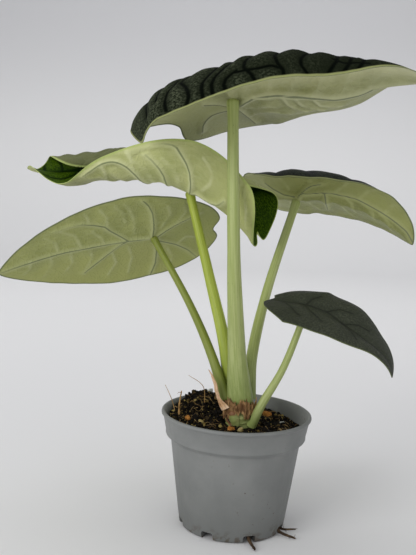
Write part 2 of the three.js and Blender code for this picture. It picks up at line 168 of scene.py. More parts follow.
def arc(start: Pair, bow: Pair, end: Pair) -> np.ndarray:
    """A bowed line as closely spaced points in a blade's plane.

    Args:
        start: where it starts, along and across the blade.
        bow: the point it bends towards.
        end: where it ends.

    Returns:
        Rows of along and across.
    """
    t = np.linspace(0, 1, 600)[:, None]
    return (1 - t) ** 2 * np.array(start) + 2 * t * (1 - t) * np.array(bow) + t * t * np.array(end)


def on_arc(line: np.ndarray, share: float) -> np.ndarray:
    """The point of a line at a share of it from 0 to 1."""
    return line[int(np.clip(share, 0, 1) * (len(line) - 1))]


# ---- meshes


def to_object(name: str, bm: bmesh.types.BMesh) -> bpy.types.Object:
    """Turns a bmesh into a linked object with smooth faces.

    Args:
        name: name of the object.
        bm: the mesh, which is freed.

    Returns:
        The new object, at the origin.
    """
    mesh = bpy.data.meshes.new(name)
    bm.to_mesh(mesh)
    bm.free()
    obj = bpy.data.objects.new(name, mesh)
    bpy.context.scene.collection.objects.link(obj)
    mesh.polygons.foreach_set("use_smooth", np.ones(len(mesh.polygons), bool))
    return obj


def get_points(obj: bpy.types.Object) -> np.ndarray:
    """The object's vertices as rows of x, y, z.

    Args:
        obj: the object.

    Returns:
        Its vertices, in the units they are stored in.
    """
    flat = np.empty(len(obj.data.vertices) * 3, np.float32)
    obj.data.vertices.foreach_get("co", flat)
    return flat.reshape(-1, 3).astype(float)


def set_points(obj: bpy.types.Object, points_mm: np.ndarray) -> None:
    """Moves the object's vertices to points given in millimetres.

    Args:
        obj: the object.
        points_mm: one place per vertex, in millimetres.
    """
    flat = (np.asarray(points_mm) * MM).astype(np.float32).ravel()
    obj.data.vertices.foreach_set("co", flat)
    obj.data.update()


def set_values(obj: bpy.types.Object, name: str, values: np.ndarray) -> None:
    """Stores one number per vertex under a name that materials read."""
    layer = obj.data.attributes.new(name, "FLOAT", "POINT")
    layer.data.foreach_set("value", np.asarray(values, np.float32))


def set_vectors(obj: bpy.types.Object, name: str, vectors: np.ndarray) -> None:
    """Stores one vector per vertex under a name that materials read."""
    layer = obj.data.attributes.new(name, "FLOAT_VECTOR", "POINT")
    layer.data.foreach_set("vector", np.asarray(vectors, np.float32).ravel())


def settle(obj: bpy.types.Object, slot: Slot, *nodes: str) -> None:
    """Puts a finished piece on the body, logs its slot and hides the frame nodes that it stands for.

    Args:
        obj: the finished piece.
        slot: the record's slot for its finish.
        nodes: frame nodes that it replaces.
    """
    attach(obj, BODY)
    if nodes:
        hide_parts(*nodes)
    log.info("%s: %d faces, slot %s, replaces %s", obj.name, len(obj.data.polygons), slot.value, nodes)


def closed_sheet(name: str, columns: int, rows: int) -> tuple[bpy.types.Object, np.ndarray]:
    """A flat closed sheet to be bent: an upper layer, a lower layer and a rim.

    Args:
        name: name of the object.
        columns: faces along X.
        rows: faces along Y.

    Returns:
        The object, and per vertex its place from -0.5 to 0.5 along X and Y and its layer (0 low, 1 high).
    """
    bm = bmesh.new()
    bmesh.ops.create_grid(bm, x_segments=columns, y_segments=rows, size=0.5)
    grown = bmesh.ops.extrude_face_region(bm, geom=bm.faces[:])
    top = [g for g in grown["geom"] if isinstance(g, bmesh.types.BMVert)]
    bmesh.ops.translate(bm, verts=top, vec=(0, 0, 1))
    bmesh.ops.recalc_face_normals(bm, faces=bm.faces[:])
    obj = to_object(name, bm)
    return obj, get_points(obj)


def spun_section(
    name: str, section: list[tuple[float, float]], steps: int, scale: float, gap: float
) -> bpy.types.Object:
    """Turns a half section once round the vertical axis into a closed shell.

    Args:
        name: name of the object.
        section: radius and height of each corner, from the axis round to the axis.
        steps: faces round the axis.
        scale: what the section's numbers are multiplied by.
        gap: corners closer than this are merged.

    Returns:
        The object, with its faces pointing outwards.
    """
    bm = bmesh.new()
    verts = [bm.verts.new((radius * scale, 0, height * scale)) for radius, height in section]
    edges = [bm.edges.new(pair) for pair in zip(verts, verts[1:])]
    bmesh.ops.spin(
        bm, geom=verts + edges, cent=(0, 0, 0), axis=(0, 0, 1), angle=TAU, steps=steps, use_merge=True
    )
    bmesh.ops.remove_doubles(bm, verts=bm.verts[:], dist=gap)
    bmesh.ops.recalc_face_normals(bm, faces=bm.faces[:])
    return to_object(name, bm)


def layer_faces(obj: bpy.types.Object, layer: np.ndarray) -> np.ndarray:
    """For each face of a closed sheet, True where all its corners are on the upper layer.

    Args:
        obj: a closed sheet.
        layer: layer of each vertex, 0 low and 1 high.

    Returns:
        One truth value per face.
    """
    mesh = obj.data
    corner = np.empty(len(mesh.loops), np.int32)
    mesh.loops.foreach_get("vertex_index", corner)
    first = np.empty(len(mesh.polygons), np.int32)
    mesh.polygons.foreach_get("loop_start", first)
    return np.minimum.reduceat(layer[corner] > 0.5, first)


def open_rod(name: str, sides: int, rings: int) -> tuple[bpy.types.Object, np.ndarray, np.ndarray]:
    """A capped rod of radius one to be bent along a curve.

    Args:
        name: name of the object.
        sides: faces round it.
        rings: faces along it.

    Returns:
        The object, and per vertex its cosine and sine round the rod and its share along the rod.
    """
    bm = bmesh.new()
    bmesh.ops.create_cone(
        bm, cap_ends=True, cap_tris=False, segments=sides, radius1=1, radius2=1, depth=1
    )
    upright = [e for e in bm.edges if abs(e.verts[0].co.z - e.verts[1].co.z) > 0.5]
    bmesh.ops.subdivide_edges(bm, edges=upright, cuts=rings - 1)
    caps = [f for f in bm.faces if len(f.verts) > 4]
    bmesh.ops.poke(bm, faces=caps)
    obj = to_object(name, bm)
    p = get_points(obj)
    return obj, p[:, :2], p[:, 2] + 0.5


def along_curve(curve: Spline, turn: np.ndarray, share: np.ndarray, radius: np.ndarray) -> np.ndarray:
    """Bends a rod along a curve.

    Args:
        curve: the rod's centreline.
        turn: cosine and sine round the rod, one row per vertex.
        share: share along the curve, one per vertex.
        radius: radius at each vertex.

    Returns:
        The bent points.
    """
    run = curve.tangent(share)
    start = unit(np.array([1.0, 0.13, 0.02]))
    x = unit(start - run * (run @ start)[:, None])
    y = np.cross(run, x)
    r = radius[:, None]
    return curve.at(share) + x * turn[:, :1] * r + y * turn[:, 1:] * r


def merged_rods(name: str, parts: list[bpy.types.Object]) -> bpy.types.Object:
    """Joins finished objects into one object.

    Args:
        name: name of the joined object.
        parts: the objects, which are removed.

    Returns:
        The joined object.
    """
    bm = bmesh.new()
    for part in parts:
        bm.from_mesh(part.data)
        bpy.data.objects.remove(part)
    return to_object(name, bm)


# ---- finishes


class NodeKit:
    """Builds one procedural material node by node."""

    def __init__(self, name: str) -> None:
        """Starts a material that holds only its shader.

        Args:
            name: name of the material.
        """
        self.material = bpy.data.materials.new(name)
        self.material.use_nodes = True
        self.tree = self.material.node_tree
        self.shader = self.tree.nodes["Principled BSDF"]

    def add(self, kind: str, inputs: dict | None = None, **settings: object) -> bpy.types.Node:
        """Adds a node.

        Args:
            kind: the node's type name.
            inputs: socket name or index to a value or another node's socket.
            settings: the node's own properties.

        Returns:
            The node.
        """
        node = self.tree.nodes.new(kind)
        for key, value in settings.items():
            setattr(node, key, value)
        for key, value in (inputs or {}).items():
            if isinstance(value, bpy.types.NodeSocket):
                self.tree.links.new(value, node.inputs[key])
            else:
                node.inputs[key].default_value = value
        return node

    def place(self) -> Socket:
        """Object coordinates, in metres."""
        return self.add("ShaderNodeTexCoord").outputs["Object"]

    def value(self, name: str) -> Socket:
        """A stored number."""
        return self.add("ShaderNodeAttribute", attribute_name=name).outputs["Fac"]

    def vector(self, name: str) -> Socket:
        """A stored vector."""
        return self.add("ShaderNodeAttribute", attribute_name=name).outputs["Vector"]

    def stretch(self, vector: Socket, scale: Triple) -> Socket:
        """Coordinates scaled by a different amount each way."""
        return self.add("ShaderNodeMapping", {"Vector": vector, "Scale": scale}).outputs["Vector"]

    def cloud(self, vector: Socket, scale: float, detail: float = 3.0, rough: float = 0.55) -> Socket:
        """Soft noise from 0 to 1."""
        sockets = {"Vector": vector, "Scale": scale, "Detail": detail, "Roughness": rough}
        return self.add("ShaderNodeTexNoise", sockets).outputs[0]

    def cells(self, vector: Socket, scale: float, feature: str = "DISTANCE_TO_EDGE") -> Socket:
        """Distance inside a pattern of cells."""
        node = self.add("ShaderNodeTexVoronoi", {"Vector": vector, "Scale": scale}, feature=feature)
        return node.outputs["Distance"]

    def step(self, value: Socket, low: float, high: float, to_low: float = 0, to_high: float = 1) -> Socket:
        """A smooth step of a value between two limits."""
        sockets = {"Value": value, "From Min": low, "From Max": high, "To Min": to_low, "To Max": to_high}
        return self.add("ShaderNodeMapRange", sockets, interpolation_type="SMOOTHSTEP").outputs[0]

    def times(self, first: Socket | float, second: Socket | float) -> Socket:
        """The product of two values."""
        return self.add("ShaderNodeMath", {0: first, 1: second}, operation="MULTIPLY").outputs[0]

    def sum(self, first: Socket | float, second: Socket | float) -> Socket:
        """The sum of two values."""
        return self.add("ShaderNodeMath", {0: first, 1: second}, operation="ADD").outputs[0]

    def less(self, first: Socket | float, second: Socket | float) -> Socket:
        """The first value less the second."""
        return self.add("ShaderNodeMath", {0: first, 1: second}, operation="SUBTRACT").outputs[0]

    def blend(self, share: Socket | float, first: Socket | Triple, second: Socket | Triple) -> Socket:
        """A mix of two colours.

        Args:
            share: how much of the second colour, from 0 to 1.
            first: colour at 0.
            second: colour at 1.

        Returns:
            The mixed colour.
        """
        node = self.add("ShaderNodeMix", data_type="RGBA")
        for index, item in ((0, share), (6, first), (7, second)):
            if isinstance(item, bpy.types.NodeSocket):
                self.tree.links.new(item, node.inputs[index])
            else:
                node.inputs[index].default_value = item if index == 0 else (*item, 1)
        return node.outputs[2]

    def ramp(self, value: Socket, stops: list[tuple[float, Triple]]) -> Socket:
        """Colours picked along a scale.

        Args:
            value: place on the scale, from 0 to 1.
            stops: places on the scale and their colours.

        Returns:
            The picked colour.
        """
        node = self.add("ShaderNodeValToRGB", {"Fac": value})
        elements = node.color_ramp.elements
        while len(elements) < len(stops):
            elements.new(0.5)
        for element, (where, colour) in zip(elements, stops):
            element.position = where
            element.color = (*colour, 1)
        return node.outputs["Color"]

    def bump(
        self, height: Socket, depth: float, strength: float = 1.0, below: Socket | None = None
    ) -> Socket:
        """Fine relief, in metres, on top of another one.

        Args:
            height: the relief.
            depth: its depth in metres.
            strength: how much of it shows.
            below: the relief it lies on.

        Returns:
            The surface direction.
        """
        sockets: dict = {"Height": height, "Distance": depth, "Strength": strength}
        if below is not None:
            sockets["Normal"] = below
        return self.add("ShaderNodeBump", sockets).outputs["Normal"]

    def finish(
        self,
        colour: Socket,
        roughness: Socket | float,
        normal: Socket | None = None,
        **constants: float,
    ) -> bpy.types.Material:
        """Connects the shader.

        Args:
            colour: base colour.
            roughness: roughness, as a socket or a number.
            normal: relief.
            constants: other shader inputs, with underscores for spaces.

        Returns:
            The material.
        """
        self.tree.links.new(colour, self.shader.inputs["Base Color"])
        if isinstance(roughness, bpy.types.NodeSocket):
            self.tree.links.new(roughness, self.shader.inputs["Roughness"])
        else:
            self.shader.inputs["Roughness"].default_value = roughness
        if normal is not None:
            self.tree.links.new(normal, self.shader.inputs["Normal"])
        for key, number in constants.items():
            self.shader.inputs[key.replace("_", " ")].default_value = number
        return self.material


@dataclass(frozen=True)
class UpperFace:
    """Upper skin of a blade: dark and grainy, and a little silvery between its sunken veins, where a painted
    sheen lies on the grain.

    The silvery grain and its painted sheen fall to fade_left of themselves between fade_start and fade_end
    along the blade, so the painted sheen lies where the light catches the blade.
    """

    deep: Triple
    grain_and_sheen: Triple
    vein: Triple
    rim: Triple
    rim_width: float = 0.5
    shine: float = 0.5
    sheen: float = 0.1
    valley_shade_width: float = 1.3
    sunk: float = 0.0
    fade_start: float = 200.0
    fade_end: float = 240.0
    fade_left: float = 0.3

    def material(self, name: str) -> bpy.types.Material:
        """Builds the material under a name.

        Args:
            name: name of the material.

        Returns:
            The material.
        """
        kit = NodeKit(name)
        flat = kit.vector("flat")
        main = kit.value("vein")
        fine = kit.value("rib")
        edge = kit.value("edge")
        grain = kit.cloud(flat, 1.25, 5, 0.8)
        clouds = kit.cloud(flat, 0.1, 3)
        main_crest = kit.step(main, 0.3, 4.0, self.sunk, 1.0)
        crest = kit.times(main_crest, kit.step(fine, 0.2, 3.2, max(self.sunk, 0.25), 1.0))
        # Painted sheen: the silvery share on the grain, kept to the raised fields between the veins.
        dust_and_sheen = kit.times(kit.step(grain, 0.45, 0.58), kit.step(clouds, 0.3, 0.7, 0.45, 1.0))
        along = kit.add("ShaderNodeSeparateXYZ", {0: flat}).outputs["X"]
        # The painted sheen fades along the blade towards where the light catches it.
        dust_and_sheen = kit.times(dust_and_sheen, kit.step(along, self.fade_start, self.fade_end, 1.0, self.fade_left))
        skin = kit.blend(kit.times(crest, dust_and_sheen), self.deep, self.grain_and_sheen)
        # The veins' own darker tone, spread across their sunken valleys as painted shade.
        skin = kit.blend(kit.step(fine, 0.2, self.valley_shade_width, 0.95, 0.0), skin, self.vein)
        skin = kit.blend(kit.step(main, 0.2, self.valley_shade_width, 0.95, 0.0), skin, self.vein)
        skin = kit.blend(kit.step(edge, self.rim_width * 0.5, self.rim_width, 1.0, 0.0), skin, self.rim)
        gloss = kit.step(grain, 0.3, 0.7, self.shine - 0.06, self.shine + 0.1)
        relief = kit.bump(kit.cloud(flat, 0.6, 3, 0.6), 0.0003, 0.6)
        relief = kit.bump(grain, 0.0002, 0.9, relief)
        relief = kit.bump(kit.cells(flat, 0.8), 0.00012, 0.35, relief)
        return kit.finish(skin, gloss, relief, Specular_IOR_Level=self.sheen)


@dataclass(frozen=True)
class UnderFace:
    """Underside of a blade: pale sage with thin dark main veins on pale ridges, and broad pale ribs.

    The far colour paints light or shade on the right half, and the lobe colour paints light or shade on the
    part behind the stalk.
    """

    flesh: Triple
    shade: Triple
    ridge: Triple
    line: Triple
    rim: Triple
    far: Triple
    painted_lobe_shading: Triple
    rim_width: float = 0.8
    far_shading_share: float = 0.0
    sheen: float = 0.5

    def material(self, name: str) -> bpy.types.Material:
        """Builds the material under a name.

        Args:
            name: name of the material.

        Returns:
            The material.
        """
        kit = NodeKit(name)
        flat = kit.vector("flat")
        parts = kit.add("ShaderNodeSeparateXYZ", {0: flat})
        along, across = parts.outputs["X"], parts.outputs["Y"]
        main = kit.value("vein")
        fine = kit.value("rib")
        edge = kit.value("edge")
        power = kit.value("power")
        clouds = kit.cloud(flat, 0.09, 3)
        streaks = kit.cloud(kit.stretch(flat, (0.5, 1.6, 1)), 0.5, 3)
        skin = kit.blend(kit.step(clouds, 0.3, 0.7), self.shade, self.flesh)
        skin = kit.blend(kit.step(streaks, 0.35, 0.75, 0.0, 0.3), skin, self.ridge)
        net = kit.step(kit.cells(flat, 0.42), 0.0, 0.09, 0.14, 0.0)
        skin = kit.blend(net, skin, self.ridge)
        fine_net = kit.step(kit.cells(flat, 1.5), 0.0, 0.12, 0.2, 0.0)
        skin = kit.blend(fine_net, skin, self.shade)
        # Painted light and shade: the right half is blended towards the far colour, lighter or darker than
        # the flesh to stand in for how the light falls there.
        skin = kit.blend(kit.step(across, -9.0, -1.0, 0.8, 0.0), skin, self.far)
        # Painted light and shade: the part behind the stalk is blended towards the lobe colour, lighter or
        # darker to stand in for how the light falls on the lobes.
        skin = kit.blend(kit.step(along, -18.0, -2.0, 0.7, 0.0), skin, self.painted_lobe_shading)
        # The pale ribs on the right half also take part of the far colour, as painted shade.
        pale = kit.blend(kit.step(across, -9.0, -1.0, self.far_shading_share, 0.0), self.ridge, self.far)
        patch = kit.step(kit.cloud(flat, 0.16, 2), 0.38, 0.6, 0.3, 1.0)
        patch = kit.times(patch, kit.step(kit.value("lift"), 0.1, 0.6, 0.15, 1.0))
        soft = kit.times(kit.step(fine, 0.2, 1.2, 0.75, 0.0), patch)
        skin = kit.blend(soft, skin, pale)
        beside = kit.step(main, 0.3, 2.2, 1.0, 0.0)
        flank = kit.times(beside, kit.step(power, 0.0, 0.9, 0.35, 0.95))
        skin = kit.blend(flank, skin, pale)
        held = kit.times(kit.step(power, 0.8, 0.96, 0.85, 0.0), kit.step(power, 0.22, 0.42))
        thread = kit.times(kit.step(main, 0.2, 0.46, 0.9, 0.0), held)
        skin = kit.blend(thread, skin, self.line)
        skin = kit.blend(kit.step(edge, self.rim_width * 0.3, self.rim_width, 0.85, 0.0), skin, self.rim)
        freckle = kit.step(kit.cloud(flat, 1.9, 2), 0.72, 0.8, 0.0, 0.35)
        skin = kit.blend(freckle, skin, self.line)
        relief = kit.bump(kit.cloud(flat, 0.7, 4, 0.6), 0.0002, 0.6)
        relief = kit.bump(kit.step(kit.cells(flat, 0.42), 0.0, 0.15, 1.0, 0.0), 0.0002, 0.5, relief)
        gloss = kit.step(clouds, 0.3, 0.7, 0.5, 0.62)
        return kit.finish(skin, gloss, relief, Specular_IOR_Level=self.sheen)


@dataclass(frozen=True)
class StalkSkin:
    """Smooth green skin of a stalk with long pale streaks, small flecks and a deeper foot."""

    green: Triple = (0.31, 0.37, 0.11)
    pale: Triple = (0.42, 0.47, 0.19)
    foot: Triple = (0.19, 0.25, 0.06)
    fleck: Triple = (0.13, 0.15, 0.04)

    def material(self, name: str) -> bpy.types.Material:
        """Builds the material under a name.

        Args:
            name: name of the material.

        Returns:
            The material.
        """
        kit = NodeKit(name)
        skin_place = kit.vector("skin")
        share = kit.value("share")
        long = kit.stretch(skin_place, (1.0, 0.035, 1))
        streaks = kit.cloud(long, 1.1, 4, 0.6)
        threads = kit.cloud(long, 3.2, 2)
        clouds = kit.cloud(kit.stretch(skin_place, (0.3, 0.08, 1)), 1.0, 2)
        skin = kit.blend(kit.step(streaks, 0.35, 0.65), self.green, self.pale)
        skin = kit.blend(kit.step(threads, 0.55, 0.7, 0.0, 0.4), skin, self.foot)
        low = kit.step(share, 0.0, 0.45, 0.8, 0.0)
        deep = kit.times(low, kit.step(clouds, 0.3, 0.7, 0.5, 1.0))
        skin = kit.blend(deep, skin, self.foot)
        spots = kit.step(kit.cells(kit.stretch(skin_place, (1, 0.5, 1)), 0.75, "F1"), 0.06, 0.16, 0.55, 0.0)
        skin = kit.blend(spots, skin, self.fleck)
        relief = kit.bump(streaks, 0.00025, 0.5)
        relief = kit.bump(threads, 0.0001, 0.5, relief)
        return kit.finish(skin, kit.step(streaks, 0.3, 0.7, 0.38, 0.52), relief, Specular_IOR_Level=0.4)


@dataclass(frozen=True)
class PotPlastic:
    """Matte blue-grey moulded plastic with scuffs, fine grain, a little dried soil, and painted shade darker
    towards its foot.
    """

    grey: Triple = (0.185, 0.192, 0.188)
    worn: Triple = (0.235, 0.241, 0.234)
    soil: Triple = (0.07, 0.05, 0.03)
    low_painted_shade: Triple = (0.1, 0.106, 0.1)

    def material(self, name: str) -> bpy.types.Material:
        """Builds the material under a name.

        Args:
            name: name of the material.

        Returns:
            The material.
        """
        kit = NodeKit(name)
        place = kit.place()
        clouds = kit.cloud(place, 60, 4)
        wipe = kit.cloud(kit.stretch(place, (1, 1, 0.12)), 500, 3)
        skin = kit.blend(kit.step(clouds, 0.3, 0.75), self.grey, self.worn)
        skin = kit.blend(kit.step(wipe, 0.55, 0.8, 0.0, 0.25), skin, self.worn)
        scratch = kit.cloud(kit.stretch(place, (1, 1, 6)), 190, 2)
        skin = kit.blend(kit.step(scratch, 0.66, 0.72, 0.0, 0.3), skin, self.worn)
        dust_and_sheen = kit.step(kit.cloud(place, 240, 5, 0.7), 0.63, 0.72)
        dust_and_sheen = kit.times(dust_and_sheen, kit.step(clouds, 0.45, 0.7))
        skin = kit.blend(kit.times(dust_and_sheen, 0.55), skin, self.soil)
        height = kit.add("ShaderNodeSeparateXYZ", {0: place}).outputs["Z"]
        # Painted shade: the lower wall is darkened towards the foot.
        skin = kit.blend(kit.step(height, 0.0, 0.034, 0.55, 0.0), skin, self.low_painted_shade)
        grit = kit.cloud(place, 330, 4)
        foot = kit.times(kit.step(height, 0.0, 0.007, 0.8, 0.0), kit.step(grit, 0.48, 0.62))
        skin = kit.blend(foot, skin, self.soil)
        crumbs = kit.step(kit.cloud(place, 700, 3), 0.66, 0.7)
        crumbs = kit.times(crumbs, kit.step(clouds, 0.5, 0.62))
        skin = kit.blend(kit.times(crumbs, 0.85), skin, self.soil)
        relief = kit.bump(kit.cloud(place, 3800, 2), 0.00005, 0.5)
        relief = kit.bump(clouds, 0.0004, 0.25, relief)
        return kit.finish(skin, kit.step(wipe, 0.3, 0.8, 0.52, 0.66), relief, Specular_IOR_Level=0.4)


@dataclass(frozen=True)
class Crumbs:
    """Loose matter coloured grain by grain along a scale, with a rough broken surface."""

    stops: tuple[tuple[float, Triple], ...]
    grain: float = 1600.0
    roughness: float = 0.9
    relief: float = 0.0003

    def material(self, name: str) -> bpy.types.Material:
        """Builds the material under a name.

        Args:
            name: name of the material.

        Returns:
            The material.
        """
        kit = NodeKit(name)
        place = kit.place()
        speckle = kit.cloud(place, self.grain, 4, 0.65)
        fleck = kit.times(kit.less(speckle, 0.5), 0.35)
        tone = kit.sum(kit.value("shade"), fleck)
        skin = kit.ramp(tone, list(self.stops))
        relief = kit.bump(speckle, self.relief, 0.8)
        broad = kit.cloud(place, self.grain * 0.4, 2)
        gloss = kit.step(broad, 0.3, 0.7, self.roughness - 0.15, self.roughness)
        return kit.finish(skin, gloss, relief, Specular_IOR_Level=0.15)


@dataclass(frozen=True)
class CrownSkin:
    """Green skin of the plant's base, with brown scars, and dark pits low on its left whose near black is
    painted shade in the hollows.
    """

    green: Triple = (0.24, 0.29, 0.08)
    pale: Triple = (0.36, 0.38, 0.15)
    brown: Triple = (0.2, 0.09, 0.035)
    painted_pit_shade: Triple = (0.02, 0.009, 0.005)

    def material(self, name: str) -> bpy.types.Material:
        """Builds the material under a name.

        Args:
            name: name of the material.

        Returns:
            The material.
        """
        kit = NodeKit(name)
        place = kit.place()
        clouds = kit.cloud(place, 210, 4)
        rings = kit.cloud(kit.stretch(place, (0.35, 0.35, 1.0)), 900, 3)
        scar = kit.value("scar")
        skin = kit.blend(kit.step(clouds, 0.35, 0.7, 0.0, 0.6), self.green, self.pale)
        skin = kit.blend(kit.step(rings, 0.52, 0.68, 0.0, 0.5), skin, self.brown)
        torn = kit.sum(scar, kit.times(kit.less(clouds, 0.5), 1.2))
        skin = kit.blend(kit.step(torn, 0.35, 0.6), skin, self.brown)
        # Painted shade: near black where the scars are torn deepest, in their hollows.
        skin = kit.blend(kit.step(torn, 0.95, 1.15), skin, self.painted_pit_shade)
        relief = kit.bump(rings, 0.0004, 0.7)
        relief = kit.bump(kit.cloud(place, 1500, 3), 0.0002, 0.6, relief)
        return kit.finish(skin, kit.step(clouds, 0.3, 0.7, 0.55, 0.75), relief)


@dataclass(frozen=True)
class Husk:
    """Papery dried sheath: tan with brown fibres along it."""

    tan: Triple
    brown: Triple
    dark: Triple

    def material(self, name: str) -> bpy.types.Material:
        """Builds the material under a name.

        Args:
            name: name of the material.

        Returns:
            The material.
        """
        kit = NodeKit(name)
        skin_place = kit.vector("skin")
        fibres = kit.cloud(kit.stretch(skin_place, (1.0, 0.12, 1)), 2.4, 4, 0.7)
        clouds = kit.cloud(skin_place, 0.35, 4)
        skin = kit.blend(kit.step(clouds, 0.36, 0.62), self.tan, self.brown)
        skin = kit.blend(kit.step(fibres, 0.5, 0.68, 0.0, 0.8), skin, self.dark)
        relief = kit.bump(fibres, 0.0004, 0.9)
        return kit.finish(skin, kit.step(fibres, 0.3, 0.7, 0.7, 0.9), relief)


# ---- leaves

STATIONS = np.array([-1.0, 0.0, 0.35, 0.65, 1.0])


@dataclass(frozen=True)
class Blade:
    """Shape of one leaf blade, as a flat arrow-shaped outline that is then cupped and bent.

    front and back are its lengths ahead of and behind the stalk, half the width of one side at its
    broadest place, near_widen the right side's width against the left's. rise and bend cup each side
    at five stations from the back of the lobes to the tip.
    """

    head: Triple
    front: float
    back: float
    half: float
    broadest: float
    notch: float
    notch_width: float
    heading: float
    pitch: float
    roll: float
    droop: float
    lobe_droop: float
    tip_droop: float
    side_bend: float
    twist: float
    lobe_twist: float
    rise_left: Five
    rise_right: Five
    bend_left: Five
    bend_right: Five
    near_widen: float = 1.0

    @staticmethod
    def station(x: np.ndarray, values: Five) -> np.ndarray:
        """Values on a smooth curve through the five stations.

        Args:
            x: places from -1 at the lobes' back to 1 at the tip.
            values: the curve's values at the stations.

        Returns:
            One value per place.
        """
        v = np.array(values, float)
        slope = np.diff(v) / np.diff(STATIONS)
        middle = (v[2:] - v[:3]) / (STATIONS[2:] - STATIONS[:3])
        slope = np.concatenate([slope[:1], middle, slope[-1:]])
        i = np.clip(np.searchsorted(STATIONS, x, side="right") - 1, 0, 3)
        gap = STATIONS[i + 1] - STATIONS[i]
        t = np.clip((x - STATIONS[i]) / gap, 0, 1)
        t2, t3 = t * t, t * t * t
        ends = v[i] * (2 * t3 - 3 * t2 + 1) + v[i + 1] * (3 * t2 - 2 * t3)
        return ends + gap * (slope[i] * (t3 - 2 * t2 + t) + slope[i + 1] * (t3 - t2))

    def half_width(self, u: np.ndarray) -> np.ndarray:
        """Half width of the outline at places u along it."""
        t = np.clip((u - self.broadest) / (self.front - self.broadest), 0, 1)
        return self.half * (1 - t**1.7) ** 0.8 + 0.25

    def back_edge(self, b: np.ndarray) -> np.ndarray:
        """Back outline of the lobes for b from -1 to 1 across the blade.

        Args:
            b: places across the blade.

        Returns:
            Places along the blade.
        """
        round_part = np.sqrt(np.clip(1 - np.abs(b) ** 2.1, 0, 1))
        notch = self.notch * np.exp(-((b / self.notch_width) ** 2))
        return self.broadest - (self.back + self.broadest) * round_part + notch

    def frames(self, u: np.ndarray) -> tuple[np.ndarray, np.ndarray, np.ndarray]:
        """Midrib places, and the blade's left and upward directions there.

        Args:
            u: places along the midrib.

        Returns:
            Centres, left directions and upward directions.
        """
        us = np.linspace(-self.back * 1.05, self.front * 1.02, 481)
        x = np.where(us < 0, us / self.back, us / self.front)
        ahead, behind = np.maximum(x, 0), np.maximum(-x, 0)
        tip = np.clip(x - 0.6, 0, 1) ** 2 / 0.16
        pitch = np.radians(self.pitch - self.droop * ahead + self.lobe_droop * behind - self.tip_droop * tip)
        yaw = np.radians(self.heading + self.side_bend * ahead)
        roll = np.radians(self.roll + self.twist * ahead + self.lobe_twist * behind)[:, None]
        run = np.stack([np.cos(pitch) * np.cos(yaw), np.cos(pitch) * np.sin(yaw), np.sin(pitch)], -1)
        level = np.stack([-np.sin(yaw), np.cos(yaw), np.zeros_like(yaw)], -1)
        upright = np.cross(run, level)
        side = np.cos(roll) * level + np.sin(roll) * upright
        up = np.cos(roll) * upright - np.sin(roll) * level
        stride = us[1] - us[0]
        walk = np.vstack([np.zeros(3), np.cumsum((run[1:] + run[:-1]) * stride / 2, 0)])

        def read(table: np.ndarray, where: np.ndarray) -> np.ndarray:
            """Rows of a table between its entries."""
            return np.stack([np.interp(where, us, table[:, k]) for k in range(3)], -1)

        centre = read(walk, u) - read(walk, np.zeros(1)) + np.array(self.head)
        return centre, read(side, u), read(up, u)

    def raw_place(self, u: np.ndarray, v: np.ndarray) -> np.ndarray:
        """Places on the blade's middle surface, u along and v across it.

        Args:
            u: places along the blade.
            v: places across it, left of its heading above 0.

        Returns:
            One point per place.
        """
        centre, side, up = self.frames(u)
        x = np.clip(np.where(u < 0, u / self.back, u / self.front), -1, 1)
        left = v >= 0
        rise = np.radians(
            np.where(left, self.station(x, self.rise_left), self.station(x, self.rise_right))
        )
        bend = np.radians(
            np.where(left, self.station(x, self.bend_left), self.station(x, self.bend_right))
        )
        k = bend / self.half
        k = np.where(np.abs(k) < 1e-6, 1e-6, k)
        w = np.abs(v)
        out = (np.sin(rise) - np.sin(rise - k * w)) / k
        lift = (np.cos(rise - k * w) - np.cos(rise)) / k
        return centre + (np.where(left, out, -out))[:, None] * side + lift[:, None] * up

    def place(self, u: np.ndarray, v: np.ndarray) -> np.ndarray:
        """Places on the middle surface, with the fold along the midrib rounded.

        Args:
            u: places along the blade.
            v: places across it.

        Returns:
            One point per place.
        """
        soft = 1.1 * np.exp(-((v / 2.5) ** 2))
        return (
            self.raw_place(u, v - soft) + self.raw_place(u, v) * 2 + self.raw_place(u, v + soft)
        ) / 4

    def normal(self, u: np.ndarray, v: np.ndarray) -> np.ndarray:
        """Upward directions square to the blade.

        Args:
            u: places along the blade.
            v: places across it.

        Returns:
            One direction per place.
        """
        step = 0.35
        du = self.place(u + step, v) - self.place(u - step, v)
        dv = self.place(u, v + step) - self.place(u, v - step)
        return unit(np.cross(du, dv))


class VeinKind(Enum):
    """What a drawn line is in the blade."""

    MAIN = "main"
    RIB = "rib"


@dataclass(frozen=True)
class Vein:
    """One vein: its kind, its power at both ends and its run, listed as along, across, along and so on."""

    kind: VeinKind
    strong: float
    weak: float
    run: tuple[float, ...]

    def rows(self) -> np.ndarray:
        """The vein as close-set rows of along, across and power.

        Returns:
            One row per point.
        """
        knots = np.array(self.run, float).reshape(-1, 2)
        steps = np.linalg.norm(np.diff(knots, axis=0), axis=1)
        reach = np.concatenate([[0.0], np.cumsum(steps)])
        t = np.linspace(0, reach[-1], 420)
        line = np.stack([np.interp(t, reach, knots[:, k]) for k in (0, 1)], -1)
        kernel = np.hanning(61) / np.hanning(61).sum()
        padded = np.pad(line, ((30, 30), (0, 0)), mode="reflect", reflect_type="odd")
        smooth_line = np.stack([np.convolve(padded[:, k], kernel, mode="valid") for k in (0, 1)], -1)
        return np.column_stack([smooth_line, np.linspace(self.strong, self.weak, len(t))])


def mains(strong: float, weak: float, *runs: tuple[float, ...]) -> tuple[Vein, ...]:
    """Main veins of one power."""
    return tuple(Vein(VeinKind.MAIN, strong, weak, run) for run in runs)


def ribs(strong: float, weak: float, *runs: tuple[float, ...]) -> tuple[Vein, ...]:
    """Ribs of one power."""
    return tuple(Vein(VeinKind.RIB, strong, weak, run) for run in runs)


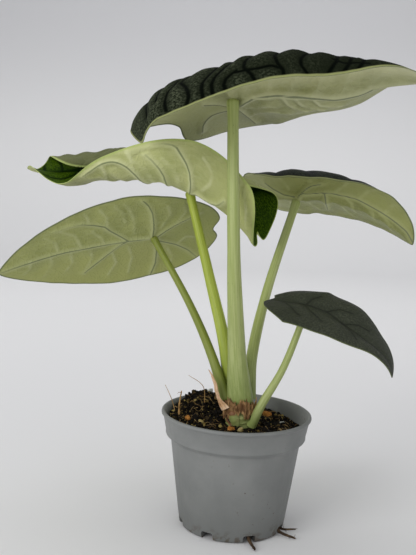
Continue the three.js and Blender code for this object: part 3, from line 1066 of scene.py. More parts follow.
class VeinPlan:
    """Main veins and the finer ribs between them, drawn in a blade's flat outline."""

    RIB_STRONG = 0.7
    RIB_WEAK = 0.15

    def __init__(self, blade: Blade, seed: int, own: tuple[Vein, ...], even_sides: tuple[float, ...]) -> None:
        """Draws the veins.

        Args:
            blade: the blade they run in.
            seed: makes the small irregularities repeatable.
            own: veins that this blade has in particular places.
            even_sides: the sides, left 1 and right -1, that also get an even set of ribs.
        """
        self.blade = blade
        self.chance = np.random.default_rng(seed)
        self.main: list[np.ndarray] = []
        self.ribs: list[np.ndarray] = []
        for vein in own:
            (self.main if vein.kind is VeinKind.MAIN else self.ribs).append(vein.rows())
        for side in even_sides:
            self._even_ribs(side * (blade.near_widen if side < 0 else 1.0))

    def _width(self, share: float) -> float:
        """Half width at a share of the front length."""
        return float(self.blade.half_width(np.array(share * self.blade.front)))

    def _even_ribs(self, side: float) -> None:
        """Draws the ribs of one side, which fan out from its midrib and its fore, mid and rear veins.

        Args:
            side: 1 on the left, and minus the side's widening on the right.
        """
        front, back, half = self.blade.front, self.blade.back, self.blade.half
        fore_tip = 0.74
        fore = arc(
            (0.17 * front, 0), (0.36 * front, 0.72 * half), (fore_tip * front, 0.86 * self._width(fore_tip))
        )
        mid = arc((0, 0), (-0.06 * front, 0.55 * half), (0.1 * front, 0.93 * half))
        rear = arc((0, 0), (-0.3 * back, 0.38 * half), (-0.72 * back, 0.5 * half))
        share = 0.24
        while share < 0.92:
            far = min(share + 0.16 * (1.15 - share), 0.985)
            reach = 0.95 * self._width(far)
            if far < fore_tip:
                reach = min(reach, float(np.interp(far * front, fore[:, 0], fore[:, 1])))
            self._rib((share * front, 0), ((share + 0.02) * front, 0.62 * reach), (far * front, reach), side)
            share += self.chance.uniform(0.105, 0.165)
        share = 0.08
        while share < 0.95:
            start = on_arc(fore, share)
            far = min(start[0] / front + 0.1 + 0.06 * share, 0.97)
            end = (far * front, 0.96 * self._width(far))
            bow = (start[0] + 0.01 * front, start[1] + 0.62 * (end[1] - start[1]))
            self._rib((start[0], start[1]), bow, end, side)
            share += self.chance.uniform(0.17, 0.27)
        for share in (0.4, 0.75):
            start = on_arc(mid, share + self.chance.uniform(-0.06, 0.06))
            end = (start[0] - (0.2 + 0.12 * share) * back, (0.8 + 0.1 * share) * half)
            self._rib((start[0], start[1]), (start[0] - 0.12 * back, start[1] + 0.2 * half), end, side)
        for share in (0.25, 0.52, 0.8):
            start = on_arc(rear, share + self.chance.uniform(-0.05, 0.05))
            end = (start[0] - 0.2 * back, min(start[1] + 0.5 * half, 0.85 * half))
            self._rib((start[0], start[1]), (start[0] - 0.02 * back, start[1] + 0.3 * half), end, side)
        for share in (0.45, 0.8):
            start = on_arc(rear, share)
            end = (start[0] - 0.2 * back, start[1] * 0.45)
            self._rib((start[0], start[1]), (start[0] - 0.14 * back, start[1] * 0.9), end, side)

    def _rib(self, start: Pair, bow: Pair, end: Pair, side: float) -> None:
        """Adds one rib, which fades along its length.

        Args:
            start: where it leaves its vein.
            bow: the point it bends towards.
            end: where it fades out.
            side: factor on its places across the blade.
        """
        line = arc(start, bow, end)
        power = np.linspace(self.RIB_STRONG, self.RIB_WEAK, len(line))
        self.ribs.append(np.column_stack([line * [1, side], power]))

    def outline(self) -> np.ndarray:
        """Points all round the blade's margin, in its flat plane.

        Returns:
            Rows of along and across.
        """
        b = np.sin(np.linspace(-math.pi / 2, math.pi / 2, 900))
        widen = np.where(b < 0, self.blade.near_widen, 1.0)
        u_back = self.blade.back_edge(b)
        back = np.stack([u_back, b * self.blade.half_width(u_back) * widen], -1)
        u = np.linspace(self.blade.broadest, self.blade.front, 700)
        left = np.stack([u, self.blade.half_width(u)], -1)
        right = left * [1, -self.blade.near_widen]
        return np.vstack([back, left, right])

    @staticmethod
    def nearest(points: np.ndarray, targets: np.ndarray) -> tuple[np.ndarray, np.ndarray]:
        """Distance from each point to the nearest target, and which target that is.

        Args:
            points: rows of along and across.
            targets: rows whose first two numbers are along and across.

        Returns:
            Distances and target rows' numbers.
        """
        tree = KDTree(len(targets))
        for i, target in enumerate(targets):
            tree.insert((target[0], target[1], 0), i)
        tree.balance()
        found = [tree.find((p[0], p[1], 0)) for p in points]
        return np.array([f[2] for f in found]), np.array([f[1] for f in found])


@dataclass(frozen=True)
class Leaf:
    """One leaf: its stalk's curve and radii, its blade, and how strongly the blade is quilted.

    calm flattens the quilting towards the tip and the lobes. even_sides get an even set of ribs
    besides the leaf's own veins.
    """

    name: str
    stalk: tuple[Triple, Triple, Triple]
    radii: tuple[float, ...]
    blade: Blade
    quilt: float
    ripple: float
    tint: UpperTint
    upper: UpperFace
    under: UnderFace
    columns: int
    rows: int
    seed: int
    skin: StalkSkin = field(default_factory=StalkSkin)
    thickness: float = 0.55
    calm: float = 0.0
    veins: tuple[Vein, ...] = ()
    even_sides: tuple[float, ...] = ()

    def build(self) -> None:
        """Builds and settles the blade and the stalk."""
        self._build_blade()
        self._build_stalk()

    def _build_blade(self) -> None:
        """Bends a closed sheet into the blade, with quilted fields between its veins."""
        obj, sheet = closed_sheet(f"blade_{self.name}", self.columns, self.rows)
        a, p, layer = sheet[:, 0] + 0.5, sheet[:, 1], sheet[:, 2]
        shape = self.blade
        b = np.sin(math.pi * p)
        rear = shape.back_edge(b)
        u = rear + (shape.front - rear) * a
        v = b * shape.half_width(u) * np.where(b < 0, shape.near_widen, 1.0)
        flat = np.stack([u, v], -1)
        plan = VeinPlan(shape, self.seed, self.veins, self.even_sides)
        main_points, rib_points = np.vstack(plan.main), np.vstack(plan.ribs)
        main, main_row = plan.nearest(flat, main_points)
        power = main_points[main_row, 2]
        rib, rib_row = plan.nearest(flat, rib_points)
        rib_power = rib_points[rib_row, 2]
        edge, _ = plan.nearest(flat, plan.outline())
        dome_main = 1 - (1 - np.clip(main / 7.0, 0, 1)) ** 2
        dome_rib = 1 - (1 - np.clip((np.sqrt(rib**2 + 0.1) - 0.31) / 5.6, 0, 1)) ** 2.3
        fade = smooth(edge, 0.0, 5.0) * 0.75 + 0.25
        tip = (1 - smooth(u / shape.front, 0.8, 1.0)) * (1 - self.calm * smooth(u / shape.front, 0.45, 0.8))
        tip *= 1 - self.calm * smooth(-u / shape.back, -0.1, 0.4)
        flat3 = np.column_stack([flat, np.zeros(len(flat))])
        lumps = wobble(flat3, 14, self.seed) * 0.35 + wobble(flat3, 5, self.seed + 3) * 0.12
        domes = 0.5 * dome_main + 0.8 * dome_rib * smooth(main, 0.3, 3.0)
        puff = self.quilt * fade * tip * (domes + lumps - 0.5)
        wave = self.ripple * (1 - smooth(edge, 0.0, 6.0)) * tip * wobble(flat3, 7, self.seed + 9) * 1.6
        ridge = (0.08 + 0.5 * power**2) * np.exp(-((main / (0.45 + 0.8 * power)) ** 2))
        ridge += 0.08 * rib_power * np.exp(-((rib / 0.7) ** 2))
        thick = self.thickness * (0.5 + 0.5 * smooth(edge, 0.0, 2.5))
        high = puff + wave + thick / 2
        low = puff + wave - thick / 2 - ridge * smooth(edge, 0.2, 2.0)
        offset = np.where(layer > 0.5, high, low)
        set_points(obj, shape.place(u, v) + shape.normal(u, v) * offset[:, None])
        set_vectors(obj, "flat", flat3)
        kept = (("vein", main), ("rib", rib), ("edge", edge), ("power", power), ("lift", rib_power))
        for name, numbers in kept:
            set_values(obj, name, numbers)
        obj.data.materials.append(self.upper.material(f"{self.name}_{self.tint.value}_upper"))
        obj.data.materials.append(self.under.material(f"{self.name}_under"))
        faces = np.where(layer_faces(obj, layer), 0, 1).astype(np.int32)
        obj.data.polygons.foreach_set("material_index", faces)
        settle(obj, Slot.BLADE, f"{self.name}_leaf_blade")

    def _build_stalk(self) -> None:
        """Bends a rod into the stalk: flared at its head, faintly ribbed and sheathed at its foot."""
        obj, turn, share = open_rod(f"stalk_{self.name}", 40, 150)
        curve = Spline((*self.stalk, self.blade.head))
        length = curve.length()
        radius = np.interp(share, np.linspace(0, 1, len(self.radii)), self.radii)
        angle = np.arctan2(turn[:, 1], turn[:, 0])
        left = (1 - share) * length
        flare = 0.22 * np.exp(-((left / 3.2) ** 2)) * np.array(self.radii[-1])
        dome = np.sqrt(np.clip(1 - (1 - np.clip(left / 1.0, 0, 1)) ** 2, 0.05, 1))
        grooves = 0.012 * np.sin(angle * 9 + share * 2) + 0.01 * np.sin(angle * 14 - share * 3)
        lumps = wobble(np.column_stack([turn * 2, share * length / 9]), 1.6, self.seed) * 0.03
        reach = np.linalg.norm(turn, axis=1)
        full = (radius * (1 + grooves + lumps) + flare) * dome
        points = along_curve(curve, turn, share, full)
        set_points(obj, points)
        set_values(obj, "share", share)
        around = angle * radius * reach
        set_vectors(obj, "skin", np.column_stack([np.cos(angle) * radius * 2, share * length, around * 0.4]))
        obj.data.materials.append(self.skin.material(f"{self.name}_stalk_skin"))
        settle(obj, Slot.STALK, f"{self.name}_leaf_stalk")


# SAGE and its copies TALL_UNDER, LEFT_UNDER and RIGHT_UNDER are set lighter or darker leaf by leaf, as
# painted light and shade.
SAGE = UnderFace(
    flesh=(0.3, 0.325, 0.125), shade=(0.22, 0.25, 0.085), ridge=(0.4, 0.42, 0.22), line=(0.06, 0.085, 0.03),
    rim=(0.12, 0.15, 0.06), far=(0.26, 0.285, 0.105), painted_lobe_shading=(0.3, 0.325, 0.125),
)
TALL_UNDER = replace(
    SAGE, flesh=(0.38, 0.39, 0.19), shade=(0.28, 0.295, 0.13), ridge=(0.52, 0.53, 0.31),
    far=(0.68, 0.68, 0.41), painted_lobe_shading=(0.5, 0.52, 0.26), line=(0.1, 0.125, 0.06),
)
LEFT_UNDER = replace(
    SAGE, flesh=(0.375, 0.4, 0.13), shade=(0.29, 0.315, 0.095), ridge=(0.46, 0.485, 0.23),
    far=(0.38, 0.4, 0.125), painted_lobe_shading=(0.33, 0.36, 0.11), line=(0.11, 0.14, 0.055),
)
RIGHT_UNDER = replace(
    SAGE, flesh=(0.265, 0.285, 0.083), shade=(0.205, 0.225, 0.065), ridge=(0.43, 0.45, 0.19),
    far=(0.38, 0.4, 0.14), painted_lobe_shading=(0.46, 0.48, 0.24), line=(0.13, 0.15, 0.085),
)
FRESH = UnderFace(
    flesh=(0.5, 0.52, 0.23), shade=(0.37, 0.4, 0.15), ridge=(0.6, 0.62, 0.34), line=(0.13, 0.165, 0.075),
    rim=(0.42, 0.5, 0.16), far=(0.045, 0.055, 0.02), painted_lobe_shading=(0.42, 0.45, 0.17), rim_width=1.2, far_shading_share=0.85,
    sheen=0.12,
)
# CHARCOAL, TALL_UPPER and SLATE are set lighter or darker leaf by leaf, as painted light, with more or less
# painted sheen.
CHARCOAL = UpperFace(
    deep=(0.005, 0.008, 0.004), grain_and_sheen=(0.034, 0.041, 0.026), vein=(0.001, 0.002, 0.001),
    rim=(0.27, 0.29, 0.12), rim_width=0.9,
)
TALL_UPPER = replace(
    CHARCOAL, deep=(0.009, 0.012, 0.006), grain_and_sheen=(0.1, 0.116, 0.07), fade_start=0.0, fade_end=38.0,
    fade_left=0.2, sheen=0.015, valley_shade_width=0.75, shine=0.7,
)
SLATE = UpperFace(
    deep=(0.028, 0.033, 0.021), grain_and_sheen=(0.078, 0.086, 0.06), vein=(0.016, 0.019, 0.012),
    rim=(0.09, 0.11, 0.045), rim_width=0.35, valley_shade_width=0.6, sunk=0.6,
)
SPRING = UpperFace(
    deep=(0.013, 0.035, 0.001), grain_and_sheen=(0.066, 0.125, 0.004), vein=(0.005, 0.016, 0.001),
    rim=(0.3, 0.38, 0.08), sheen=0.03, fade_start=-20.0, fade_end=40.0, fade_left=2.6,
)
LEFT_STALK = StalkSkin(green=(0.185, 0.222, 0.032), pale=(0.25, 0.288, 0.055), foot=(0.13, 0.165, 0.025))
ROLLED_STALK = StalkSkin(green=(0.31, 0.38, 0.045), pale=(0.41, 0.48, 0.072), foot=(0.2, 0.27, 0.035))


TALL_VEINS = (
    *mains(1, 0.72, (0, 0, -0.8, 4, -0.4, 5.4, 4.8, 2, 9.5, -0.3)),
    *mains(0.74, 0.5, (9.5, -0.3, 17.9, -0.9, 28.7, 0.5, 39.1, 2.7, 48.5, 2.2, 51.8, 0.6)),
    *mains(0.3, 0.1, (51.8, 0.6, 60, 0, 72, 0)),
    *mains(0.75, 0.4, (-3.6, 8, -4.3, 14.2, -5.2, 18.4, -6, 22.7)),
    *mains(0.5, 0.36, (-9.2, 8.6, -13, 8, -16.9, 7.4, -20.9, 8, -24.3, 9.2, -27.9, 11.9)),
    *mains(0.8, 0.6, (-6.2, 4.9, -10.1, 1.9, -13.7, 0)),
    *ribs(1, 0.6,
        (0.3, 8.3, 6.6, 8, 11.6, 6, 15.2, 6.5), (-2.9, 16.4, 7.8, 11.6, 14.6, 10.7, 19.5, 11.7),
        (20.9, -0.3, 21.3, 4.5, 23.5, 7.4, 27.5, 10.4), (25.3, 1.3, 26.5, 5.5, 29.7, 8, 34, 10),
        (31.8, 3, 33.2, 6.3, 36.6, 7.7, 41, 8.5)),
    *ribs(0.1, 0.1,
        (-3, -28, -1.3, -32.8, -1.7, -36, -0.1, -40.1, 1.8, -44.6),
        (0.6, -31.5, 4.2, -35.8, 6, -39, 7, -41.4, 7.1, -44.5), (9.4, -30, 9, -36.8, 9.7, -39.8, 10.9, -44),
        (13.2, -29, 11.8, -35.9, 11.9, -39, 12.9, -42.8),
        (16.8, -34.8, 15, -37.5, 14.9, -39.9, 15.8, -42.4),
        (18.9, -24, 17.9, -29.8, 18.6, -34.2, 21, -37.1, 22.4, -40),
        (16.4, -35.6, 18.2, -35.4, 22.1, -34.9, 25.2, -33.5, 28, -34.2),
        (25, -22, 25.2, -28.6, 26.8, -32.7, 28.2, -34.1, 28.9, -38.1),
        (33.8, -20, 32.1, -27.4, 32.3, -30.7, 35.3, -34.9),
        (41.6, -16, 41.2, -24.1, 39.9, -28.1, 38.4, -32),
        (40.2, -23, 43.3, -24.1, 46.4, -22.4, 49.6, -21.6), (45.6, -17, 44.5, -23.8, 42.8, -28.3),
        (49.4, -15, 48, -22, 46.3, -26.2), (-20, -24, -17.3, -29.6, -14.7, -35.1, -10.3, -42.4),
        (-9, -27, -8.6, -33, -6.5, -38), (5, -1, 11, -10, 19, -15.5, 31, -19, 48, -16, 60, -10),
        (0, -1, -2, -10, -3.2, -19, -3, -28), (-5, -3, -13, -9, -19, -15, -24, -23),
        (-13, -9, -14, -16, -12, -22, -9, -27), (-18, -14, -20, -19, -20, -24),
        (-3, -14, 0, -23, 0.6, -31.5), (8, -6, 8, -17, 9.4, -30), (14, -12.5, 13, -20, 13.2, -29),
        (19, -15.5, 19, -24), (25, -17.5, 25, -22), (34, -19, 33.8, -20), (14, 0, 17, -6, 22, -10),
        (23, 0, 26, -7, 31, -12), (32, 1.5, 35, -6, 40, -11), (41, 2.5, 44, -5, 49, -10),
        (50, 1, 53, -3, 57, -7)),
)
ROLLED_VEINS = (
    *mains(1, 0.25, (0, 0, 25, 0, 50, 0, 81, 0)),
    *mains(0.76, 0.6, (-2.2, 9, -3, 13.3, -2.9, 18.8, -1.6, 23.8, 0.7, 27.3, 4.9, 32.1)),
    *mains(0.36, 0.12, (4.9, 32.1, 6.3, 32.8, 9.1, 32.9, 12.1, 32.3, 15.5, 30.9, 19.6, 29.9)),
    *mains(0.72, 0.32,
        (15.6, 8, 16.6, 12.5, 18, 18.9, 20.3, 23.3, 23.1, 25.8, 25.8, 26.9, 29.5, 26.4, 33.6, 24.8,
         37.7, 23.6)),
    *mains(0.46, 0.3, (7.2, 9, 7.3, 13.8, 7.8, 18.4, 9.4, 22.2, 12.1, 26, 14.4, 28.2)),
    *mains(0.6, 0.3, (-3, 9, -5.5, 12.5, -9.3, 12.8, -12.8, 14.6, -16.4, 19.1, -18.3, 24.9)),
    *ribs(0.8, 0.4, (-4.6, 32.5, -7.7, 31.4, -10, 29.1, -10.2, 24.7, -7.6, 17.9)),
    *ribs(0.6, 0.4,
        (-17.9, 38.3, -20.8, 37.2, -20.9, 33.5, -19, 28), (21.1, 30.5, 18.9, 26.1, 18.6, 22.2),
        (30.3, 26.6, 29.4, 21.6, 31.2, 15.5), (36.1, 20.2, 32.3, 18.9, 29.1, 11.8),
        (-23.1, 36.2, -27.5, 31.3, -30.4, 24.3)),
    *ribs(0.5, 0.3,
        (12.6, 10, 13.2, 17, 15, 22, 18.6, 26), (2.2, 10, 2.8, 17, 4.5, 22, 9, 27),
        (24, 10, 24.6, 16, 27, 21), (40, 4, 43, 12, 49, 17), (52, 2, 56, 9, 62, 12)),
)
LEFT_VEINS = (
    *mains(1, 0.66, (0, 0, 5, -0.1, 11, 0.3, 14, 0.2)),
    *mains(0.72, 0.3, (14, 0.2, 23.9, 0.4, 41.4, 1, 58, 0.6, 67.5, 0)),
    *mains(0.78, 0.4, (0.5, 0, 0.4, 5.7, 1, 10.7, 1.9, 15.4, 3.9, 19.7, 6.4, 22.8)),
    *mains(0.78, 0.5, (11.4, 0.3, 15.1, 3.9, 19.8, 8.2, 22.3, 11.2)),
    *mains(0.5, 0.12, (22.3, 11.2, 27.6, 13.4, 32.5, 14.8, 36.7, 14.9, 43, 14)),
    *mains(0.7, 0.38, (-0.9, -0.2, -5.1, 3.4, -9.4, 6.2, -13.9, 8.4, -20, 11.6)),
    *mains(0.72, 0.34, (12, 0.2, 14.9, -1.6, 19.1, -5.6, 25.1, -10.6, 30.7, -15)),
    *mains(0.74, 0.4, (0, 0, -1.4, -4, -2.6, -9.6, -2.6, -17, -0.6, -24.3)),
    *mains(0.6, 0.32, (0, 0, -3.7, -3, -11, -6.4, -17.5, -11.2, -21.5, -15.7)),
    *ribs(0.9, 0.6,
        (18.1, 21.5, 14.9, 17.5, 13.3, 11.5), (13.8, 22.4, 11.1, 16.9, 9.2, 10.7, 8.8, 4),
        (24.3, 20.6, 21.6, 16, 20.9, 10.8), (30.8, 19.9, 29.2, 16.7, 29.2, 14),
        (41, 13.3, 34.7, 8.7, 32.6, 2.3), (47.2, 11.5, 43.2, 7.3, 42.2, 1.9),
        (27.5, 9.4, 23.5, 4.5, 22.1, -0.2), (37, 0.2, 36.1, -6.9, 38.8, -11),
        (45.7, 0.7, 45.1, -4.7, 48.8, -10.2), (18.2, -6.1, 15.9, -13.2, 19.6, -19.3),
        (28.2, -1.7, 27.2, -7.3, 29.8, -12.8), (10.9, -4, 8.6, -11.2, 10.1, -20.5),
        (-2.7, 5.1, -6.5, 12.9, -4.9, 18), (-9.4, 6.2, -13.3, 12.9, -12.3, 17.4),
        (-11.5, -6.4, -15.5, -2.5, -22.4, -3.8), (54.4, 1.2, 54.7, -3, 57.5, -5.6),
        (-6.4, -6.9, -10.4, -14.3, -8.7, -19.9)),
)
RIGHT_VEINS = (
    *mains(1, 0.7, (0, 0, 2, -2.3, 7.8, -3.2, 12.6, -4.1)),
    *mains(0.66, 0.4, (12.6, -4.1, 18, -4.4, 25, -5, 32.3, -4.2, 40, -3.9, 48.8, -3.5, 54.5, -1)),
    *mains(0.62, 0.36, (0.8, -1.5, 1.2, -1.9, 3.5, -4.5, 6.2, -6.7, 10.2, -8.1)),
    *mains(0.66, 0.36, (-1, -1.3, -6.5, -2.3, -11.6, -4.3, -15.9, -6.9)),
    *mains(0.6, 0.36, (12, -3.2, 13, 0, 12.9, 6, 12.8, 13.5)),
    *ribs(0.7, 0.4,
        (20.1, -4.3, 23.8, -2.1, 26.8, 5.5), (27.4, -4.6, 32.9, -1.8, 36.4, 3.6),
        (16, -5, 19.2, -9.8, 21.7, -20.1), (26.1, -5.6, 28.3, -12.4, 30.7, -16.8),
        (37.5, -4.5, 38.2, -10.3, 39.3, -13.1), (35.6, -3.4, 40.8, -1.3, 44.7, 3.4),
        (-3, 2, -5, 10, -2, 18), (4, 1, 5, 9, 8, 17), (20, 2, 22, 9, 27, 15), (-8, 2, -14, 6, -20, 6),
        (6, -9, 4, -16, 8, -22), (-4, -5, -9, -12, -8, -19)),
)
SMALL_VEINS = (
    *mains(1, 0.3, (-15.4, -3.1, -8.1, -4, -0.9, 0, 7.4, 1.7, 14.1, 0.6, 20.8, -0.5, 30, -1.5, 43, 0)),
    *ribs(0.4, 0.2,
        (-0.9, 0, -0.7, 3.9, 0.8, 8.5), (-0.4, -0.9, 4.7, -4.9, 11.3, -8.8),
        (-7.5, -4.9, -2.3, -8, 3.1, -10.9), (7.5, 1.7, 10.3, 6.3, 14.5, 8.2),
        (14.3, 0.5, 19.6, -1.9, 25.2, -6.6), (16, 0.5, 20, 4.5, 24, 6)),
)


def five_leaves() -> list[Leaf]:
    """The five leaves of the plant, tallest first.

    Returns:
        The leaves, ready to build.
    """
    tall = Blade(
        head=(-7.2, -13.9, 167.3), front=72.5, back=36.1, half=27.7,
        broadest=-13.3, notch=6.6, notch_width=0.2, near_widen=1.74,
        heading=-37.3, pitch=-3.5, roll=20.1, droop=-19.0,
        lobe_droop=57.1, tip_droop=14.5, side_bend=48.8,
        twist=-12.7, lobe_twist=-9.5,
        rise_left=(-24, -38, -53, -43, 51), rise_right=(41, 59, 93, 83, 11),
        bend_left=(-23, -6.5, -66, -64, 137), bend_right=(78, 67, 109, 137, 62),
    )
    rolled = Blade(
        head=(-24.3, 19.6, 133.0), front=81.6, back=37.8, half=38.8,
        broadest=-23.8, notch=4.2, notch_width=0.16, near_widen=0.85,
        heading=173.1, pitch=21.6, roll=103.2, droop=42.8,
        lobe_droop=13.5, tip_droop=-35.3, side_bend=-22.8,
        twist=-18.0, lobe_twist=15.7,
        rise_left=(-157, -112, -141, -139, -60), rise_right=(78, 122, 129, 136, 69),
        bend_left=(-105, -97, -148, -109, -162), bend_right=(-225, -344, -415, -566, -667),
    )
    left = Blade(
        head=(-40.4, 33.0, 112.4), front=68.1, back=32.0, half=25.1,
        broadest=12.0, notch=3.7, notch_width=0.14,
        heading=202.0, pitch=-8.5, roll=43.0, droop=11.0,
        lobe_droop=-2.0, tip_droop=0.0, side_bend=9.0,
        twist=10.0, lobe_twist=8.0,
        rise_left=(5, 5, 4.5, 4, 3), rise_right=(5, 5, 4.5, 4, 3),
        bend_left=(27, 1, 2, 3, 5), bend_right=(28, 26, 20, 12, 5),
    )
    right = Blade(
        head=(21.9, 40.0, 131.4), front=55.3, back=28.2, half=25.0,
        broadest=7.3, notch=3.7, notch_width=0.14,
        heading=-18.0, pitch=4.0, roll=-28.5, droop=45.0,
        lobe_droop=-34.0, tip_droop=0.0, side_bend=22.0,
        twist=18.0, lobe_twist=8.0,
        rise_left=(5, 18, 13, 10, 5), rise_right=(35, 80, 68, 60, 40),
        bend_left=(10, 8, 10, 10, 5), bend_right=(106, 155, 128, 105, 70),
    )
    small = Blade(
        head=(25.3, -8.5, 90.9), front=43.5, back=17.5, half=17.7,
        broadest=4.0, notch=2.5, notch_width=0.14,
        heading=-32.0, pitch=-17.0, roll=32.0, droop=15.0,
        lobe_droop=28.0, tip_droop=56.0, side_bend=-2.0,
        twist=-45.0, lobe_twist=-20.0,
        rise_left=(5, 4, 12, 5, 0), rise_right=(5, 25, 25, 10, 0),
        bend_left=(40, 46, 30, 20, 10), bend_right=(13, 18, 35, 30, 10),
    )
    return [
        Leaf(
            name="tall", stalk=((1.2, -2.6, 50.6), (-0.9, -5.6, 70.0), (-4.0, -18.0, 111.1)),
            radii=(5.4, 3.6, 2.4, 2.0), blade=tall, quilt=1.7, ripple=0.1, calm=0.55,
            tint=UpperTint.DARK, upper=TALL_UPPER, under=TALL_UNDER, columns=250, rows=180, seed=11,
            veins=TALL_VEINS,
        ),
        Leaf(
            name="rolled", stalk=((-2.6, 2.6, 50.6), (-5.9, 3.4, 71.0), (-14.4, 13.0, 99.6)),
            radii=(3, 2.5, 2.1, 1.7), blade=rolled, quilt=1.0, ripple=0.25,
            tint=UpperTint.BRIGHT, upper=SPRING, under=FRESH, columns=240, rows=150, seed=12,
            skin=ROLLED_STALK, veins=ROLLED_VEINS, even_sides=(-1.0,),
        ),
        Leaf(
            name="left", stalk=((-4.6, -2.4, 50.6), (-10.4, 1.6, 66.0), (-21.3, 15.7, 85.0)),
            radii=(2.4, 1.9, 1.6, 1.4), blade=left, quilt=0.7, ripple=0.2,
            tint=UpperTint.DARK, upper=CHARCOAL, under=LEFT_UNDER, columns=200, rows=130, seed=13,
            skin=LEFT_STALK, veins=LEFT_VEINS,
        ),
        Leaf(
            name="right", stalk=((4.8, 2.2, 50.6), (5.0, 5.0, 66.0), (10.0, 21.0, 91.2)),
            radii=(2.8, 2.3, 2.0, 1.7), blade=right, quilt=0.9, ripple=0.3,
            tint=UpperTint.DARK, upper=CHARCOAL, under=RIGHT_UNDER, columns=170, rows=120, seed=14,
            veins=RIGHT_VEINS,
        ),
        Leaf(
            name="small", stalk=((6.0, -6.0, 41.8), (9.6, -7.8, 51.0), (17.0, -9.2, 66.0)),
            radii=(2, 1.7, 1.4, 1.2), blade=small, quilt=0.4, ripple=0.1,
            tint=UpperTint.DARK, upper=SLATE, under=SAGE, columns=130, rows=96, seed=15,
            veins=SMALL_VEINS,
        ),
    ]


# ---- pot


